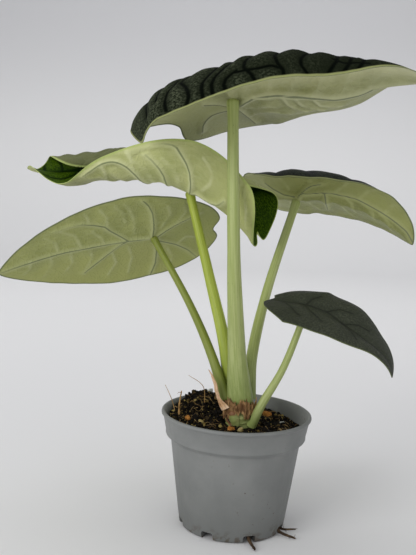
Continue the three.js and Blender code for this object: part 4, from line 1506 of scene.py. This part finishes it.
@dataclass(frozen=True)
class NurseryPot:
    """Stepped nursery pot: rolled lip, rim band, step, tapering wall, flat floor and drain slots."""

    height: float = 46.0
    rim: float = 30.0
    lip_drop: float = 1.6
    band_top: float = 29.3
    band_foot: float = 27.9
    band_foot_z: float = 36.6
    wall_top: float = 25.9
    wall_top_z: float = 35.0
    base: float = 21.1
    wall: float = 1.2
    floor: float = 1.4
    slots: int = 8
    slot_width: float = 5.0
    slot_height: float = 3.2
    slot_start: float = 15.0
    slot_turn: float = -70.0
    slot_corner: float = 0.9
    foot_radius: float = 1.35
    sides: int = 144
    crease: float = 38.0

    def inner(self, z: float) -> float:
        """Radius of the inner wall at a height.

        Args:
            z: the height.

        Returns:
            The radius.
        """
        shift = self.wall / 2
        low, high = self.wall_top_z + shift, self.band_foot_z + shift
        slope = (self.wall_top - self.base) / self.wall_top_z
        if z <= low:
            return self.base + slope * z - self.wall
        low_radius = self.base + slope * low - self.wall
        high_radius = self.band_foot - self.wall
        if z <= high:
            return low_radius + (high_radius - low_radius) * (z - low) / (high - low)
        rise = min((z - high) / (self.height - high), 1)
        return high_radius + (self.band_top - self.wall - high_radius) * rise

    def profile(self) -> list[tuple[float, float]]:
        """Half section of the pot: radius and height, from the middle of its underside to its floor.

        Returns:
            The corners of the section in order.
        """
        slope = (self.wall_top - self.base) / self.wall_top_z
        section = [(0.0, 0.6), (16.0, 0.6), (17.0, 0.0), (self.base - 1.4, 0.0)]
        for angle in (20, 45, 70, 90):
            turn = math.radians(angle)
            section.append(
                (self.base - 1.2 + self.foot_radius * math.sin(turn), self.foot_radius * (1 - math.cos(turn)))
            )
        section += [(self.base + slope * z + 0.02, z) for z in (6, 14, 22, 30, self.wall_top_z - 0.6)]
        section += [
            (self.wall_top + 0.1, self.wall_top_z + 0.1),
            (self.band_foot - 0.5, self.band_foot_z - 0.35),
            (self.band_foot - 0.08, self.band_foot_z - 0.05),
            (self.band_foot + 0.1, self.band_foot_z + 0.35),
            (self.band_foot + 0.12, self.band_foot_z + 0.9),
            (self.band_foot + 0.02, self.band_foot_z + 1.15),
            (self.band_foot + 0.5, 40.0),
            (self.band_top - 0.05, self.height - self.lip_drop - 0.2),
            (self.band_top + 0.1, self.height - self.lip_drop),
            (self.rim - 0.25, self.height - self.lip_drop + 0.15),
            (self.rim - 0.02, self.height - 1.1),
            (self.rim, self.height - 0.75),
            (self.rim - 0.12, self.height - 0.32),
            (self.rim - 0.42, self.height - 0.06),
            (self.rim - 0.8, self.height),
            (self.rim - 1.2, self.height - 0.14),
            (self.rim - 1.5, self.height - 0.5),
        ]
        step = [
            self.band_foot_z + 0.9, self.band_foot_z + 0.3, self.wall_top_z + 0.5, self.wall_top_z - 0.6
        ]
        section += [(self.inner(z), z) for z in (self.height - 1.8, 41.0, *step, 25.0, 12.0, 4.0)]
        section += [(self.inner(2.4) - 0.2, 2.2), (self.inner(1.4) - 1.4, self.floor)]
        section.append((0.0, self.floor + 0.6))
        return section

    def build(self) -> None:
        """Spins the section, cuts the drain slots and dresses the pot."""
        pot = spun_section("pot_shell", self.profile(), self.sides, MM, 1e-6)
        cutter = self._slot_cutter()
        cut = pot.modifiers.new("drain", "BOOLEAN")
        cut.object = cutter
        cut.operation = "DIFFERENCE"
        cut.solver = "EXACT"
        bpy.context.view_layer.update()
        shaped = pot.evaluated_get(bpy.context.evaluated_depsgraph_get())
        mesh = bpy.data.meshes.new_from_object(shaped)
        pot.modifiers.clear()
        pot.data = mesh
        bpy.data.objects.remove(cutter)
        mesh.materials.clear()
        mesh.materials.append(PotPlastic().material("pot_plastic_grey"))
        mesh.polygons.foreach_set("use_smooth", np.ones(len(mesh.polygons), bool))
        mesh.set_sharp_from_angle(angle=math.radians(self.crease))
        settle(pot, Slot.POT, "pot")

    def _slot_cutter(self) -> bpy.types.Object:
        """Blocks that cut the drain slots where the wall meets the floor.

        Returns:
            One object that holds all the blocks.
        """
        bm = bmesh.new()
        depth = self.rim - self.slot_start
        for i in range(self.slots):
            turn = Matrix.Rotation(math.radians(self.slot_turn + 360 / self.slots * i), 4, "Z")
            move = Matrix.Translation(
                Vector((self.slot_start + depth / 2, 0, self.slot_height / 2 - 1)) * MM
            )
            size = Matrix.Diagonal((depth * MM, self.slot_width * MM, (self.slot_height + 2) * MM, 1))
            made = bmesh.ops.create_cube(bm, size=1, matrix=turn @ move @ size)
            tall = [e for e in {e for v in made["verts"] for e in v.link_edges} if self._radial(e)]
            bmesh.ops.bevel(
                bm, geom=tall, offset=self.slot_corner * MM, segments=4, profile=0.5, material=-1,
                affect="EDGES",
            )
        return to_object("slot_cutter", bm)

    @staticmethod
    def _radial(edge: bmesh.types.BMEdge) -> bool:
        """True for an upper edge that points away from the pot's axis.

        Args:
            edge: an edge of a slot block.

        Returns:
            Whether the edge gets a rounded corner.
        """
        a, b = (v.co for v in edge.verts)
        reach = abs(a.xy.length - b.xy.length)
        return min(a.z, b.z) > 0.001 and reach > 0.01


# ---- soil and what lies on it


@dataclass(frozen=True)
class SoilBed:
    """Coarse dark potting soil, heaped at the back left, with loose grains and fibres on top."""

    pot: NurseryPot
    mean_top: float = 42.0
    slope_x: float = -0.085
    slope_y: float = 0.03
    heap: float = 5.4
    heap_x: float = -14.0
    heap_y: float = 17.0
    heap_spread: float = 11.0
    edge_drop: float = 1.0
    crown: Pair = (1.4, -2.0)
    sides: int = 160
    grains: int = 6800
    fibres: int = 190

    def top(self, x: np.ndarray, y: np.ndarray) -> np.ndarray:
        """Height of the bed's surface before its small lumps.

        Args:
            x: places across the pot.
            y: places along its depth.

        Returns:
            One height per place.
        """
        mound = np.exp(-((x - self.heap_x) ** 2 + (y - self.heap_y) ** 2) / self.heap_spread**2)
        edge = (np.hypot(x, y) / 27) ** 4
        slope = self.slope_x * x + self.slope_y * y
        return self.mean_top + slope + self.heap * mound - self.edge_drop * edge

    def surface(self, x: np.ndarray, y: np.ndarray) -> np.ndarray:
        """Height of the bed's surface with its lumps.

        Args:
            x: places across the pot.
            y: places along its depth.

        Returns:
            One height per place.
        """
        p = np.column_stack([x, y, np.zeros_like(x)])
        lumps = wobble(p, 5.5, 1) * 0.9 + wobble(p, 2.1, 2) * 0.5 + wobble(p, 0.9, 3) * 0.25
        calm = 1 - 0.8 * smooth(np.hypot(x, y), 25.5, 27.5)
        return self.top(x, y) + lumps * calm - 0.45

    def build(self) -> None:
        """Builds the bed, its grains and its fibres."""
        self._build_bed()
        self._build_grains()
        self._build_fibres()

    def _build_bed(self) -> None:
        """Spins the bed's section and lifts its top into lumps."""
        flag = 60.0
        section = [(0.0, 2.4), (self.pot.inner(2.4) - 2.2, 2.4)]
        section += [(self.pot.inner(z) - 0.5, z) for z in (4.2, 15.0, 25.0, 34.6, 37.8)]
        outer = self.pot.inner(41) - 0.35
        section += [(outer * s, flag) for s in np.linspace(1, 0, 64)]
        obj = spun_section("soil_bed", section, self.sides, 1.0, 1e-4)
        p = get_points(obj)
        on_top = p[:, 2] > flag - 1
        p[on_top, 2] = self.surface(p[on_top, 0], p[on_top, 1])
        set_points(obj, p)
        set_values(obj, "shade", np.full(len(p), 0.12))
        obj.data.materials.append(SOIL_FINISH.material("soil_bed_fill"))
        settle(obj, Slot.SOIL, "soil")

    def _build_grains(self) -> None:
        """Scatters small irregular grains over the bed, as one piece."""
        chance = np.random.default_rng(41)
        bm = bmesh.new()
        bmesh.ops.create_icosphere(bm, subdivisions=1, radius=1)
        seed_object = to_object("grain_seed", bm)
        ball = get_points(seed_object)
        corners = np.array([list(f.vertices) for f in seed_object.data.polygons])
        bpy.data.objects.remove(seed_object)
        reach = 27.3 * np.sqrt(chance.uniform(0, 1, self.grains))
        turn = chance.uniform(0, TAU, self.grains)
        x, y = reach * np.cos(turn), reach * np.sin(turn)
        size = np.exp(chance.normal(-0.85, 0.38, self.grains)).clip(0.2, 1.25)
        limit = self.pot.inner(41) - 0.5 - size
        squeeze = np.minimum(1, limit / np.maximum(np.hypot(x, y), 1e-6))
        x, y = x * squeeze, y * squeeze
        free = np.hypot(x - self.crown[0], y - self.crown[1]) > 6.2 + size
        x, y, size = x[free], y[free], size[free]
        count = len(x)
        z = self.surface(x, y) + size * chance.uniform(0.0, 0.75, count)
        knobs = ball[None] * chance.uniform(0.6, 1.25, (count, len(ball), 1))
        stretch = chance.uniform(0.6, 1.25, (count, 1, 3))
        yaw, tilt = chance.uniform(0, TAU, count), chance.uniform(-1, 1, count)
        shapes = knobs * stretch * size[:, None, None]
        c, s = np.cos(yaw)[:, None], np.sin(yaw)[:, None]
        sx, sy = shapes[..., 0] * c - shapes[..., 1] * s, shapes[..., 0] * s + shapes[..., 1] * c
        ct, st = np.cos(tilt)[:, None], np.sin(tilt)[:, None]
        sx, sz = sx * ct - shapes[..., 2] * st, sx * st + shapes[..., 2] * ct
        points = np.stack([sx + x[:, None], sy + y[:, None], sz + z[:, None]], -1)
        faces = corners[None] + (np.arange(count) * len(ball))[:, None, None]
        mesh = bpy.data.meshes.new("soil_grains")
        mesh.from_pydata((points.reshape(-1, 3) * MM).tolist(), [], faces.reshape(-1, 3).tolist())
        obj = bpy.data.objects.new("soil_grains", mesh)
        bpy.context.scene.collection.objects.link(obj)
        shade = np.clip(chance.beta(1.3, 3.2, count), 0, 1)
        shade[chance.uniform(0, 1, count) > 0.955] = 0.93
        set_values(obj, "shade", np.repeat(shade, len(ball)))
        mesh.materials.append(SOIL_FINISH.material("soil_loose_grains"))
        settle(obj, Slot.SOIL)

    def _build_fibres(self) -> None:
        """Lays short bent peat fibres over the bed, as one piece."""
        chance = np.random.default_rng(43)
        parts = []
        for i in range(self.fibres):
            reach, turn = 26.5 * math.sqrt(chance.uniform(0.03, 1)), chance.uniform(0, TAU)
            x, y = reach * math.cos(turn), reach * math.sin(turn)
            if math.hypot(x - self.crown[0], y - self.crown[1]) < 7:
                continue
            heading, length = chance.uniform(0, TAU), chance.uniform(1.5, 5.0)
            knots = []
            for s in (-0.5, -0.15, 0.2, 0.5):
                px = x + math.cos(heading) * length * s + chance.normal(0, 0.2)
                py = y + math.sin(heading) * length * s + chance.normal(0, 0.2)
                scale = min(1.0, 27.4 / max(math.hypot(px, py), 1e-6))
                px, py = px * scale, py * scale
                ground = float(self.surface(np.array([px]), np.array([py]))[0])
                knots.append((px, py, ground + 0.45 + abs(chance.normal(0, 0.5))))
            rod, round_it, share = open_rod(f"fibre_{i}", 5, 7)
            thin = chance.uniform(0.06, 0.16)
            taper = thin * (1 - 0.8 * np.abs(share * 2 - 1) ** 2)
            points = along_curve(Spline(tuple(knots)), round_it, share, taper)
            set_points(rod, points)
            set_values(rod, "shade", np.full(len(points), chance.uniform(0.3, 1.0)))
            parts.append(rod)
        obj = merged_rods("soil_fibres", parts)
        obj.data.materials.append(FIBRE_FINISH.material("soil_peat_fibre"))
        settle(obj, Slot.SOIL)


SOIL_FINISH = Crumbs(
    (
        (0.0, (0.0025, 0.0015, 0.0008)),
        (0.35, (0.006, 0.004, 0.002)),
        (0.62, (0.02, 0.013, 0.005)),
        (0.8, (0.14, 0.095, 0.025)),
        (1.0, (0.42, 0.32, 0.11)),
    ),
    roughness=0.85,
)
FIBRE_FINISH = Crumbs(((0.0, (0.04, 0.025, 0.012)), (0.5, (0.2, 0.12, 0.045)), (1.0, (0.4, 0.28, 0.13))))


@dataclass(frozen=True)
class LooseChip:
    """One larger loose piece on the soil: a ball broken into facets and sunk a little."""

    node: str
    x: float
    y: float
    size: float
    flat: float
    turn: float
    slot: Slot
    finish: Crumbs

    def build(self, bed: SoilBed) -> None:
        """Shapes the chip where it lies on the bed.

        Args:
            bed: the soil it lies on.
        """
        bm = bmesh.new()
        bmesh.ops.create_icosphere(bm, subdivisions=4, radius=1)
        obj = to_object(f"loose_{self.node}", bm)
        p = get_points(obj)
        facets = np.random.default_rng(int(self.turn * 100)).normal(0, 1, (14, 3))
        facets = unit(facets)
        cut = np.max(p @ facets.T, axis=1)
        p = p * (0.93 / np.maximum(cut, 0.72))[:, None]
        p = p * (1 + 0.06 * wobble(p, 0.45, self.turn) + 0.03 * wobble(p, 0.16, self.turn))[:, None]
        p = p * [1, 0.8, self.flat] * (self.size / 2)
        c, s = math.cos(self.turn), math.sin(self.turn)
        p = np.column_stack([p[:, 0] * c - p[:, 1] * s, p[:, 0] * s + p[:, 1] * c, p[:, 2]])
        z = float(bed.top(np.array([self.x]), np.array([self.y]))[0]) + self.size * self.flat * 0.2
        set_points(obj, p + [self.x, self.y, z])
        set_values(obj, "shade", 0.5 + 0.3 * wobble(p, 0.8, self.turn))
        obj.data.materials.append(self.finish.material(f"{self.node}_rough"))
        settle(obj, self.slot, self.node)


def three_tones(dark: Triple, middle: Triple, light: Triple, grain: float) -> Crumbs:
    """A loose matter's finish from its dark, middle and light tones."""
    return Crumbs(((0.0, dark), (0.5, middle), (1.0, light)), grain=grain)


BARK = three_tones((0.09, 0.03, 0.008), (0.42, 0.17, 0.035), (0.62, 0.33, 0.1), 2600)
GRIT = three_tones((0.15, 0.11, 0.04), (0.38, 0.3, 0.12), (0.6, 0.52, 0.28), 2600)
PERLITE = three_tones((0.28, 0.29, 0.27), (0.55, 0.56, 0.53), (0.72, 0.73, 0.7), 2600)
HAIR = three_tones((0.12, 0.06, 0.02), (0.4, 0.24, 0.09), (0.6, 0.42, 0.2), 1200)
ROOT = three_tones((0.012, 0.008, 0.005), (0.06, 0.038, 0.022), (0.2, 0.13, 0.07), 1500)


def loose_chips() -> list[LooseChip]:
    """The larger loose pieces that lie on the soil.

    Returns:
        The chips, ready to build.
    """
    return [
        LooseChip("bark_chip_front", -1.8, -12.4, 3.0, 0.6, 0.5, Slot.BARK, BARK),
        LooseChip("bark_chip_left", -19.0, -6.0, 2.8, 0.6, 1.9, Slot.BARK, BARK),
        LooseChip("bark_chip_right", 12.6, 13.0, 3.6, 0.7, 2.6, Slot.BARK, BARK),
        LooseChip("grit_front", 1.9, -12.6, 2.4, 0.8, 0.2, Slot.GRIT, GRIT),
        LooseChip("grit_left", -13.6, -9.6, 2.6, 0.8, 1.2, Slot.GRIT, GRIT),
        LooseChip("grit_right", 11.4, -13.6, 2.2, 0.8, 2.2, Slot.GRIT, GRIT),
        LooseChip("perlite_back", -11.6, 19.0, 2.6, 0.85, 0.9, Slot.PERLITE, PERLITE),
        LooseChip("perlite_side", 18.6, 4.0, 2.0, 0.85, 2.9, Slot.PERLITE, PERLITE),
    ]


@dataclass(frozen=True)
class Strand:
    """A root, a dry stalk or a hair: a thin tapering rod with knobs, and side hairs if it is a root."""

    node: str
    path: tuple[Triple, ...]
    radii: Pair
    slot: Slot
    finish: Crumbs
    hairs: int = 0

    def build(self) -> None:
        """Builds the strand with its side hairs as one piece."""
        parts = [self._rod(self.node, self.path, self.radii, 16, 70, 0.12)]
        chance = np.random.default_rng(len(self.node) * 7 + 3)
        curve = Spline(self.path)
        for i in range(self.hairs):
            t = np.array([chance.uniform(0.45, 0.98)])
            foot = curve.at(t)[0]
            lean = unit(chance.normal(0, 1, 3) + curve.tangent(t)[0])
            long = chance.uniform(1.0, 2.6)
            bow = foot + lean * long * 0.5 + chance.normal(0, 0.2, 3)
            tip = foot + lean * long + chance.normal(0, 0.3, 3)
            spots = tuple((float(q[0]), float(q[1]), float(max(q[2], 0.25))) for q in (foot, bow, tip))
            parts.append(self._rod(f"{self.node}_{i}", spots, (0.14, 0.04), 5, 6, 0.0))
        obj = merged_rods(f"strand_{self.node}", parts)
        obj.data.materials.append(self.finish.material(f"{self.node}_skin"))
        settle(obj, self.slot, self.node)

    @staticmethod
    def _rod(
        name: str, path: tuple[Triple, ...], radii: Pair, sides: int, rings: int, knob: float
    ) -> bpy.types.Object:
        """One tapering rod with knobs along it.

        Args:
            name: name of the rod.
            path: points that it runs through.
            radii: its radius at both ends.
            sides: faces round it.
            rings: faces along it.
            knob: how strongly it is knobbed.

        Returns:
            The rod.
        """
        rod, turn, share = open_rod(name, sides, rings)
        radius = radii[0] + (radii[1] - radii[0]) * share
        closing = np.sqrt(np.clip(1 - (np.clip(share - 0.96, 0, 1) / 0.042) ** 2, 0.02, 1))
        lumps = 1 + knob * wobble(np.column_stack([turn * 0.8, share * 14]), 1.0, len(name))
        points = along_curve(Spline(path), turn, share, radius * closing * lumps)
        set_points(rod, points)
        set_values(rod, "shade", 0.5 + 0.4 * wobble(points, 2.2, 1))
        return rod


def strands() -> list[Strand]:
    """The roots, the dry stalk and the hairs.

    Returns:
        The strands, ready to build.
    """
    root, husk = Slot.ROOT, Slot.HUSK
    return [
        Strand("root_front", ((2.4, -3.4, 19.3), (4.6, -11.0, 9.0), (7.1, -19.4, 1.8), (9.6, -26.4, 0.85)),
               (1.3, 0.4), root, ROOT, 7),
        Strand("root_right", ((4.2, -1.6, 19.3), (11.5, -5.8, 9.0), (18.5, -10.0, 1.7), (25.4, -14.4, 0.8)),
               (1.2, 0.35), root, ROOT, 7),
        Strand("root_right_thin", ((3.2, 0.6, 19.3), (11.6, -2.2, 8.0), (19.6, -7.4, 1.6), (25.8, -9.0, 2.2)),
               (0.9, 0.3), root, ROOT, 6),
        Strand("root_left", ((-0.6, -1.4, 19.3), (-6.6, -3.2, 12.5), (-12.4, -2.2, 5.0)),
               (1.2, 0.5), root, ROOT),
        Strand("root_back", ((1.0, 1.2, 19.3), (0.4, 8.0, 12.5), (3.0, 13.6, 4.6)), (1.2, 0.5), root, ROOT),
        Strand("dry_stalk", ((-22.6, -3.4, 41.5), (-22.9, -3.0, 47.5), (-22.2, -2.8, 53.6)), (0.5, 0.22),
               husk, HAIR, 2),
        Strand("dry_hair_left", ((-24.4, 2.0, 42.0), (-26.4, 1.6, 48.6), (-29.3, 1.0, 54.8)), (0.2, 0.08),
               husk, HAIR),
        Strand("dry_hair_back", ((-13.2, 7.4, 44.8), (-14.2, 7.0, 53.4), (-20.4, 6.0, 58.0)), (0.2, 0.08),
               husk, HAIR),
    ]


# ---- crown

COLLAR_HUSK = Husk(tan=(0.42, 0.25, 0.1), brown=(0.15, 0.068, 0.02), dark=(0.035, 0.012, 0.004))
SCALE_HUSK = Husk(tan=(0.82, 0.6, 0.4), brown=(0.62, 0.38, 0.2), dark=(0.3, 0.14, 0.05))


@dataclass(frozen=True)
class Crown:
    """Base of the plant: a short ringed green neck with brown scars, and what clings to it.

    Each scar is its direction round the neck, its height, its width as an angle, how tall it is and
    how deep.
    """

    x: float = 1.4
    y: float = -2.0
    bottom: float = 20.0
    top: float = 51.4
    neck_heights: tuple[float, ...] = (20.0, 24.0, 32.0, 40.5, 44.5, 48.0, 50.4, 51.4)
    neck_radii: tuple[float, ...] = (0.5, 4.5, 5.4, 5.6, 6.1, 5.9, 5.2, 4.2)
    scars: tuple[Five, ...] = (
        (-140, 43.6, 0.42, 1.6, 1.2), (-112, 41.6, 0.3, 1.2, 1.1), (-165, 46.2, 0.5, 1.5, 0.8),
        (-30, 43.0, 0.4, 2.4, 0.5), (150, 44.0, 0.8, 3.0, 0.6), (70, 43.0, 0.9, 3.0, 0.5),
    )
    stub_path: tuple[Triple, ...] = ((0.6, -6.4, 42.0), (-0.6, -7.6, 45.0), (-1.9, -8.4, 48.0))
    collar_start: float = -92.0
    collar_sweep: float = 138.0
    collar_low: float = 45.9
    collar_high: float = 51.9
    collar_radius: float = 6.75
    collar_thick: float = 0.3
    scale_path: tuple[Triple, ...] = ((-4.6, -7.6, 48.2), (-8.2, -6.4, 54.6), (-11.4, -4.4, 63.2))
    scale_facing: Triple = (-0.7, -0.7, 0.1)
    scale_width: float = 3.7
    scale_thick: float = 0.28

    def build(self) -> None:
        """Builds the neck, the stub, the collar and the dried scale."""
        self._build_neck()
        self._build_stub()
        self._build_collar()
        self._build_scale()

    def _build_neck(self) -> None:
        """Bends a rod into the neck, with pits on its lower left."""
        obj, turn, share = open_rod("crown_neck", 96, 130)
        z = self.bottom + (self.top - self.bottom) * share
        angle = np.arctan2(turn[:, 1], turn[:, 0])
        reach = np.linalg.norm(turn, axis=1)
        base = np.interp(z, self.neck_heights, self.neck_radii)
        p = np.column_stack([turn * 6, z])
        rings = 0.16 * np.sin(z * 3.1 + wobble(p, 5, 2) * 2)
        lumps = wobble(p, 3.2, 5) * 0.35 + wobble(p, 1.1, 6) * 0.12
        scar = np.zeros(len(z))
        for where, height, wide, tall, deep in self.scars:
            gap = (angle - math.radians(where) + math.pi) % TAU - math.pi
            scar += deep * np.exp(-((gap / wide) ** 2) - ((z - height) / tall) ** 2)
        above = smooth(z, 26, 34)
        radius = (base + (rings + lumps) * above - 0.55 * np.clip(scar, 0, 1.4)) * np.clip(reach, 0, 1)
        x, y = self.x + np.cos(angle) * radius, self.y + np.sin(angle) * radius
        set_points(obj, np.column_stack([x, y, z]))
        set_values(obj, "scar", scar)
        obj.data.materials.append(CrownSkin().material("crown_ringed_green"))
        settle(obj, Slot.CROWN, "crown")

    def _build_stub(self) -> None:
        """The cut end of an old stalk, low on the front of the crown."""
        obj, turn, share = open_rod("crown_stub", 40, 40)
        radius = np.interp(share, [0, 0.5, 0.9, 1.0], [2.1, 2.0, 1.3, 0.5])
        lumps = 1 + 0.1 * wobble(np.column_stack([turn * 2, share * 5]), 1.2, 8)
        points = along_curve(Spline(self.stub_path), turn, share, radius * lumps)
        set_points(obj, points)
        set_values(obj, "scar", smooth(share, 0.55, 0.95) * 0.8)
        obj.data.materials.append(CrownSkin().material("crown_stub_green"))
        settle(obj, Slot.CROWN, "stalk_stub")

    def _build_collar(self) -> None:
        """Ragged fibrous remains of old sheaths round the front of the crown."""
        obj, sheet = closed_sheet("collar_fibrous", 150, 36)
        s, w, layer = sheet[:, 0], sheet[:, 1] + 0.5, sheet[:, 2]
        turn = np.radians(self.collar_start + s * self.collar_sweep)
        fray = 0.9 * np.sin(s * 17) + 0.5 * np.sin(s * 41 + 1)
        fray += 0.5 * np.sin(s * 97) + 0.3 * np.sin(s * 173 + 2)
        hang = 1.3 * np.sin(s * 9 + 2) + 0.8 * np.sin(s * 31) + 0.4 * np.sin(s * 83)
        low = self.collar_low + hang
        high = self.collar_high + fray - 3 * s * s
        z = low + (high - low) * w
        p = np.column_stack([s * 16, w * 5, np.zeros_like(s)])
        folds = 0.28 * np.sin(s * 62 + wobble(p, 3, 4) * 3) + 0.22 * wobble(p, 0.9, 5)
        radius = self.collar_radius + 0.35 * w + folds + (layer - 0.5) * self.collar_thick
        x = self.x + radius * np.cos(turn)
        y = self.y + radius * np.sin(turn)
        set_points(obj, np.column_stack([x, y, z]))
        set_vectors(obj, "skin", np.column_stack([s * 16, w * 6, layer]))
        self._outward(obj)
        obj.data.materials.append(COLLAR_HUSK.material("collar_brown_fibre"))
        settle(obj, Slot.HUSK, "papery_collar")

    @staticmethod
    def _outward(obj: bpy.types.Object) -> None:
        """Makes every face of a closed piece point outwards.

        Args:
            obj: the piece.
        """
        bm = bmesh.new()
        bm.from_mesh(obj.data)
        bmesh.ops.recalc_face_normals(bm, faces=bm.faces[:])
        bm.to_mesh(obj.data)
        bm.free()

    def _build_scale(self) -> None:
        """A tan, pointed dry husk that stands up at the left of the crown."""
        obj, sheet = closed_sheet("scale_dried", 90, 26)
        s, w, layer = sheet[:, 0] + 0.5, sheet[:, 1], sheet[:, 2]
        curve = Spline(self.scale_path)
        run = curve.tangent(s)
        facing = unit(np.array(self.scale_facing))
        across = unit(np.cross(np.tile(facing, (len(s), 1)), run))
        face = np.cross(run, across)
        width = 0.3 + self.scale_width * (1 - s**1.3) * (0.75 + 0.25 * np.cos(s * 9))
        curl = -1.6 * w * w * width * 0.35
        p = np.column_stack([s * 14, w * 4, np.zeros_like(s)])
        crumple = 0.3 * np.sin(w * 14 + s * 5) * (1 - s) + 0.25 * wobble(p, 1.6, 6)
        sway = 0.8 * np.sin(s * 7)
        lift = curl + crumple + (layer - 0.5) * self.scale_thick
        points = curve.at(s) + across * (w * width + sway * s)[:, None] + face * lift[:, None]
        set_points(obj, points)
        set_vectors(obj, "skin", np.column_stack([w * 4, s * 14, layer]))
        self._outward(obj)
        obj.data.materials.append(SCALE_HUSK.material("scale_tan_husk"))
        settle(obj, Slot.HUSK, "dried_scale")


# ---- room


@dataclass(frozen=True)
class Studio:
    """Pale sweep, soft lights and the camera."""

    camera_place: Triple = (0.0, -0.29607, 0.12853)
    camera_down: float = 5.678
    camera_turn: float = -2.692
    camera_tilt: float = 2.65
    lens: float = 48.84
    sweep_half: float = 3.0
    sweep_front: float = -3.0
    cove_start: float = 1.2
    cove_radius: float = 0.6
    wall_top: float = 3.5
    low_tint: Triple = (0.8, 0.8, 0.81)
    pale_tint: Triple = (0.84, 0.84, 0.84)
    high_painted_shade: Triple = (0.62, 0.62, 0.635)

    def build(self) -> None:
        """Builds the camera, the sweep and the lights."""
        self._camera()
        self._sweep()
        self._lights()

    def _camera(self) -> None:
        """Aims the camera."""
        down, turn, tilt = (math.radians(a) for a in (self.camera_down, self.camera_turn, self.camera_tilt))
        ahead = Vector((math.sin(turn) * math.cos(down), math.cos(turn) * math.cos(down), -math.sin(down)))
        right = Vector((math.cos(turn), -math.sin(turn), 0))
        up = right.cross(ahead)
        right, up = (
            right * math.cos(tilt) + up * math.sin(tilt),
            up * math.cos(tilt) - right * math.sin(tilt),
        )
        data = bpy.data.cameras.new("studio_camera")
        data.lens = self.lens
        data.sensor_width = 36
        data.clip_start = 0.01
        camera = bpy.data.objects.new("studio_camera", data)
        camera.matrix_world = Matrix(
            (
                (right.x, up.x, -ahead.x, self.camera_place[0]),
                (right.y, up.y, -ahead.y, self.camera_place[1]),
                (right.z, up.z, -ahead.z, self.camera_place[2]),
                (0, 0, 0, 1),
            )
        )
        bpy.context.scene.collection.objects.link(camera)
        bpy.context.scene.camera = camera

    def _sweep(self) -> None:
        """A pale floor that curves up into a wall behind, with painted shade that deepens its tone higher up.
        """
        bm = bmesh.new()
        start, bend = self.cove_start, self.cove_radius
        line = [(self.sweep_front, 0.0), (start, 0.0)]
        line += [
            (start + bend * math.sin(a), bend - bend * math.cos(a))
            for a in np.linspace(0.1, math.pi / 2, 14)
        ]
        line.append((start + bend, self.wall_top))
        verts = [bm.verts.new((-self.sweep_half, y, z)) for y, z in line]
        edges = [bm.edges.new(pair) for pair in zip(verts, verts[1:])]
        made = bmesh.ops.extrude_edge_only(bm, edges=edges)
        moved = [g for g in made["geom"] if isinstance(g, bmesh.types.BMVert)]
        bmesh.ops.translate(bm, verts=moved, vec=(2 * self.sweep_half, 0, 0))
        obj = to_object("pale_sweep", bm)
        kit = NodeKit("pale_floor")
        place = kit.place()
        tone = kit.blend(kit.cloud(place, 1.5, 2), self.low_tint, self.pale_tint)
        height = kit.add("ShaderNodeSeparateXYZ", {0: place}).outputs["Z"]
        # Painted shade: the wall is darkened higher up.
        tone = kit.blend(kit.step(height, 0.15, 0.7), tone, self.high_painted_shade)
        obj.data.materials.append(kit.finish(tone, 0.9, kit.bump(kit.cloud(place, 400, 2), 0.0001, 0.2)))

    def _lights(self) -> None:
        """Soft overhead light, a broad key from the front left and an even surround."""
        world = bpy.data.worlds.new("soft_room")
        world.use_nodes = True
        back = world.node_tree.nodes["Background"]
        back.inputs["Color"].default_value = (0.98, 0.985, 1.0, 1)
        back.inputs["Strength"].default_value = 0.55
        bpy.context.scene.world = world
        self._area("key", (-0.8, -0.9, 0.55), 0.7, 7.0)
        self._area("fill", (0.7, -1.0, 0.1), 0.8, 2.0)
        self._area("top", (-0.3, 0.2, 1.2), 0.9, 1.6)
        self._area("wall", (0.0, 0.6, 1.1), 1.0, 4.0, (0.0, 1.8, 0.2))

    @staticmethod
    def _area(
        name: str, place: Triple, size: float, power: float, target: Triple = (0.0, 0.0, 0.1)
    ) -> None:
        """One square soft light, aimed at the plant unless a target is given.

        Args:
            name: name of the light.
            place: where it stands, in metres.
            size: its width in metres.
            power: its power in watts.
            target: the place it is aimed at.
        """
        data = bpy.data.lights.new(name, "AREA")
        data.size = size
        data.energy = power
        lamp = bpy.data.objects.new(name, data)
        aim = Vector(target) - Vector(place)
        lamp.matrix_world = Matrix.Translation(place) @ aim.to_track_quat("-Z", "Y").to_matrix().to_4x4()
        bpy.context.scene.collection.objects.link(lamp)


def main() -> None:
    """Builds the room, then the pot, the soil, the crown, the strands, the chips and the leaves."""
    logging.basicConfig(level=logging.INFO, format="%(name)s: %(message)s")
    bpy.context.scene.view_settings.view_transform = "Standard"
    Studio().build()
    pot = NurseryPot()
    pot.build()
    bed = SoilBed(pot)
    bed.build()
    Crown().build()
    for strand in strands():
        strand.build()
    for chip in loose_chips():
        chip.build(bed)
    for leaf in five_leaves():
        leaf.build()


if __name__ == "__main__":
    main()
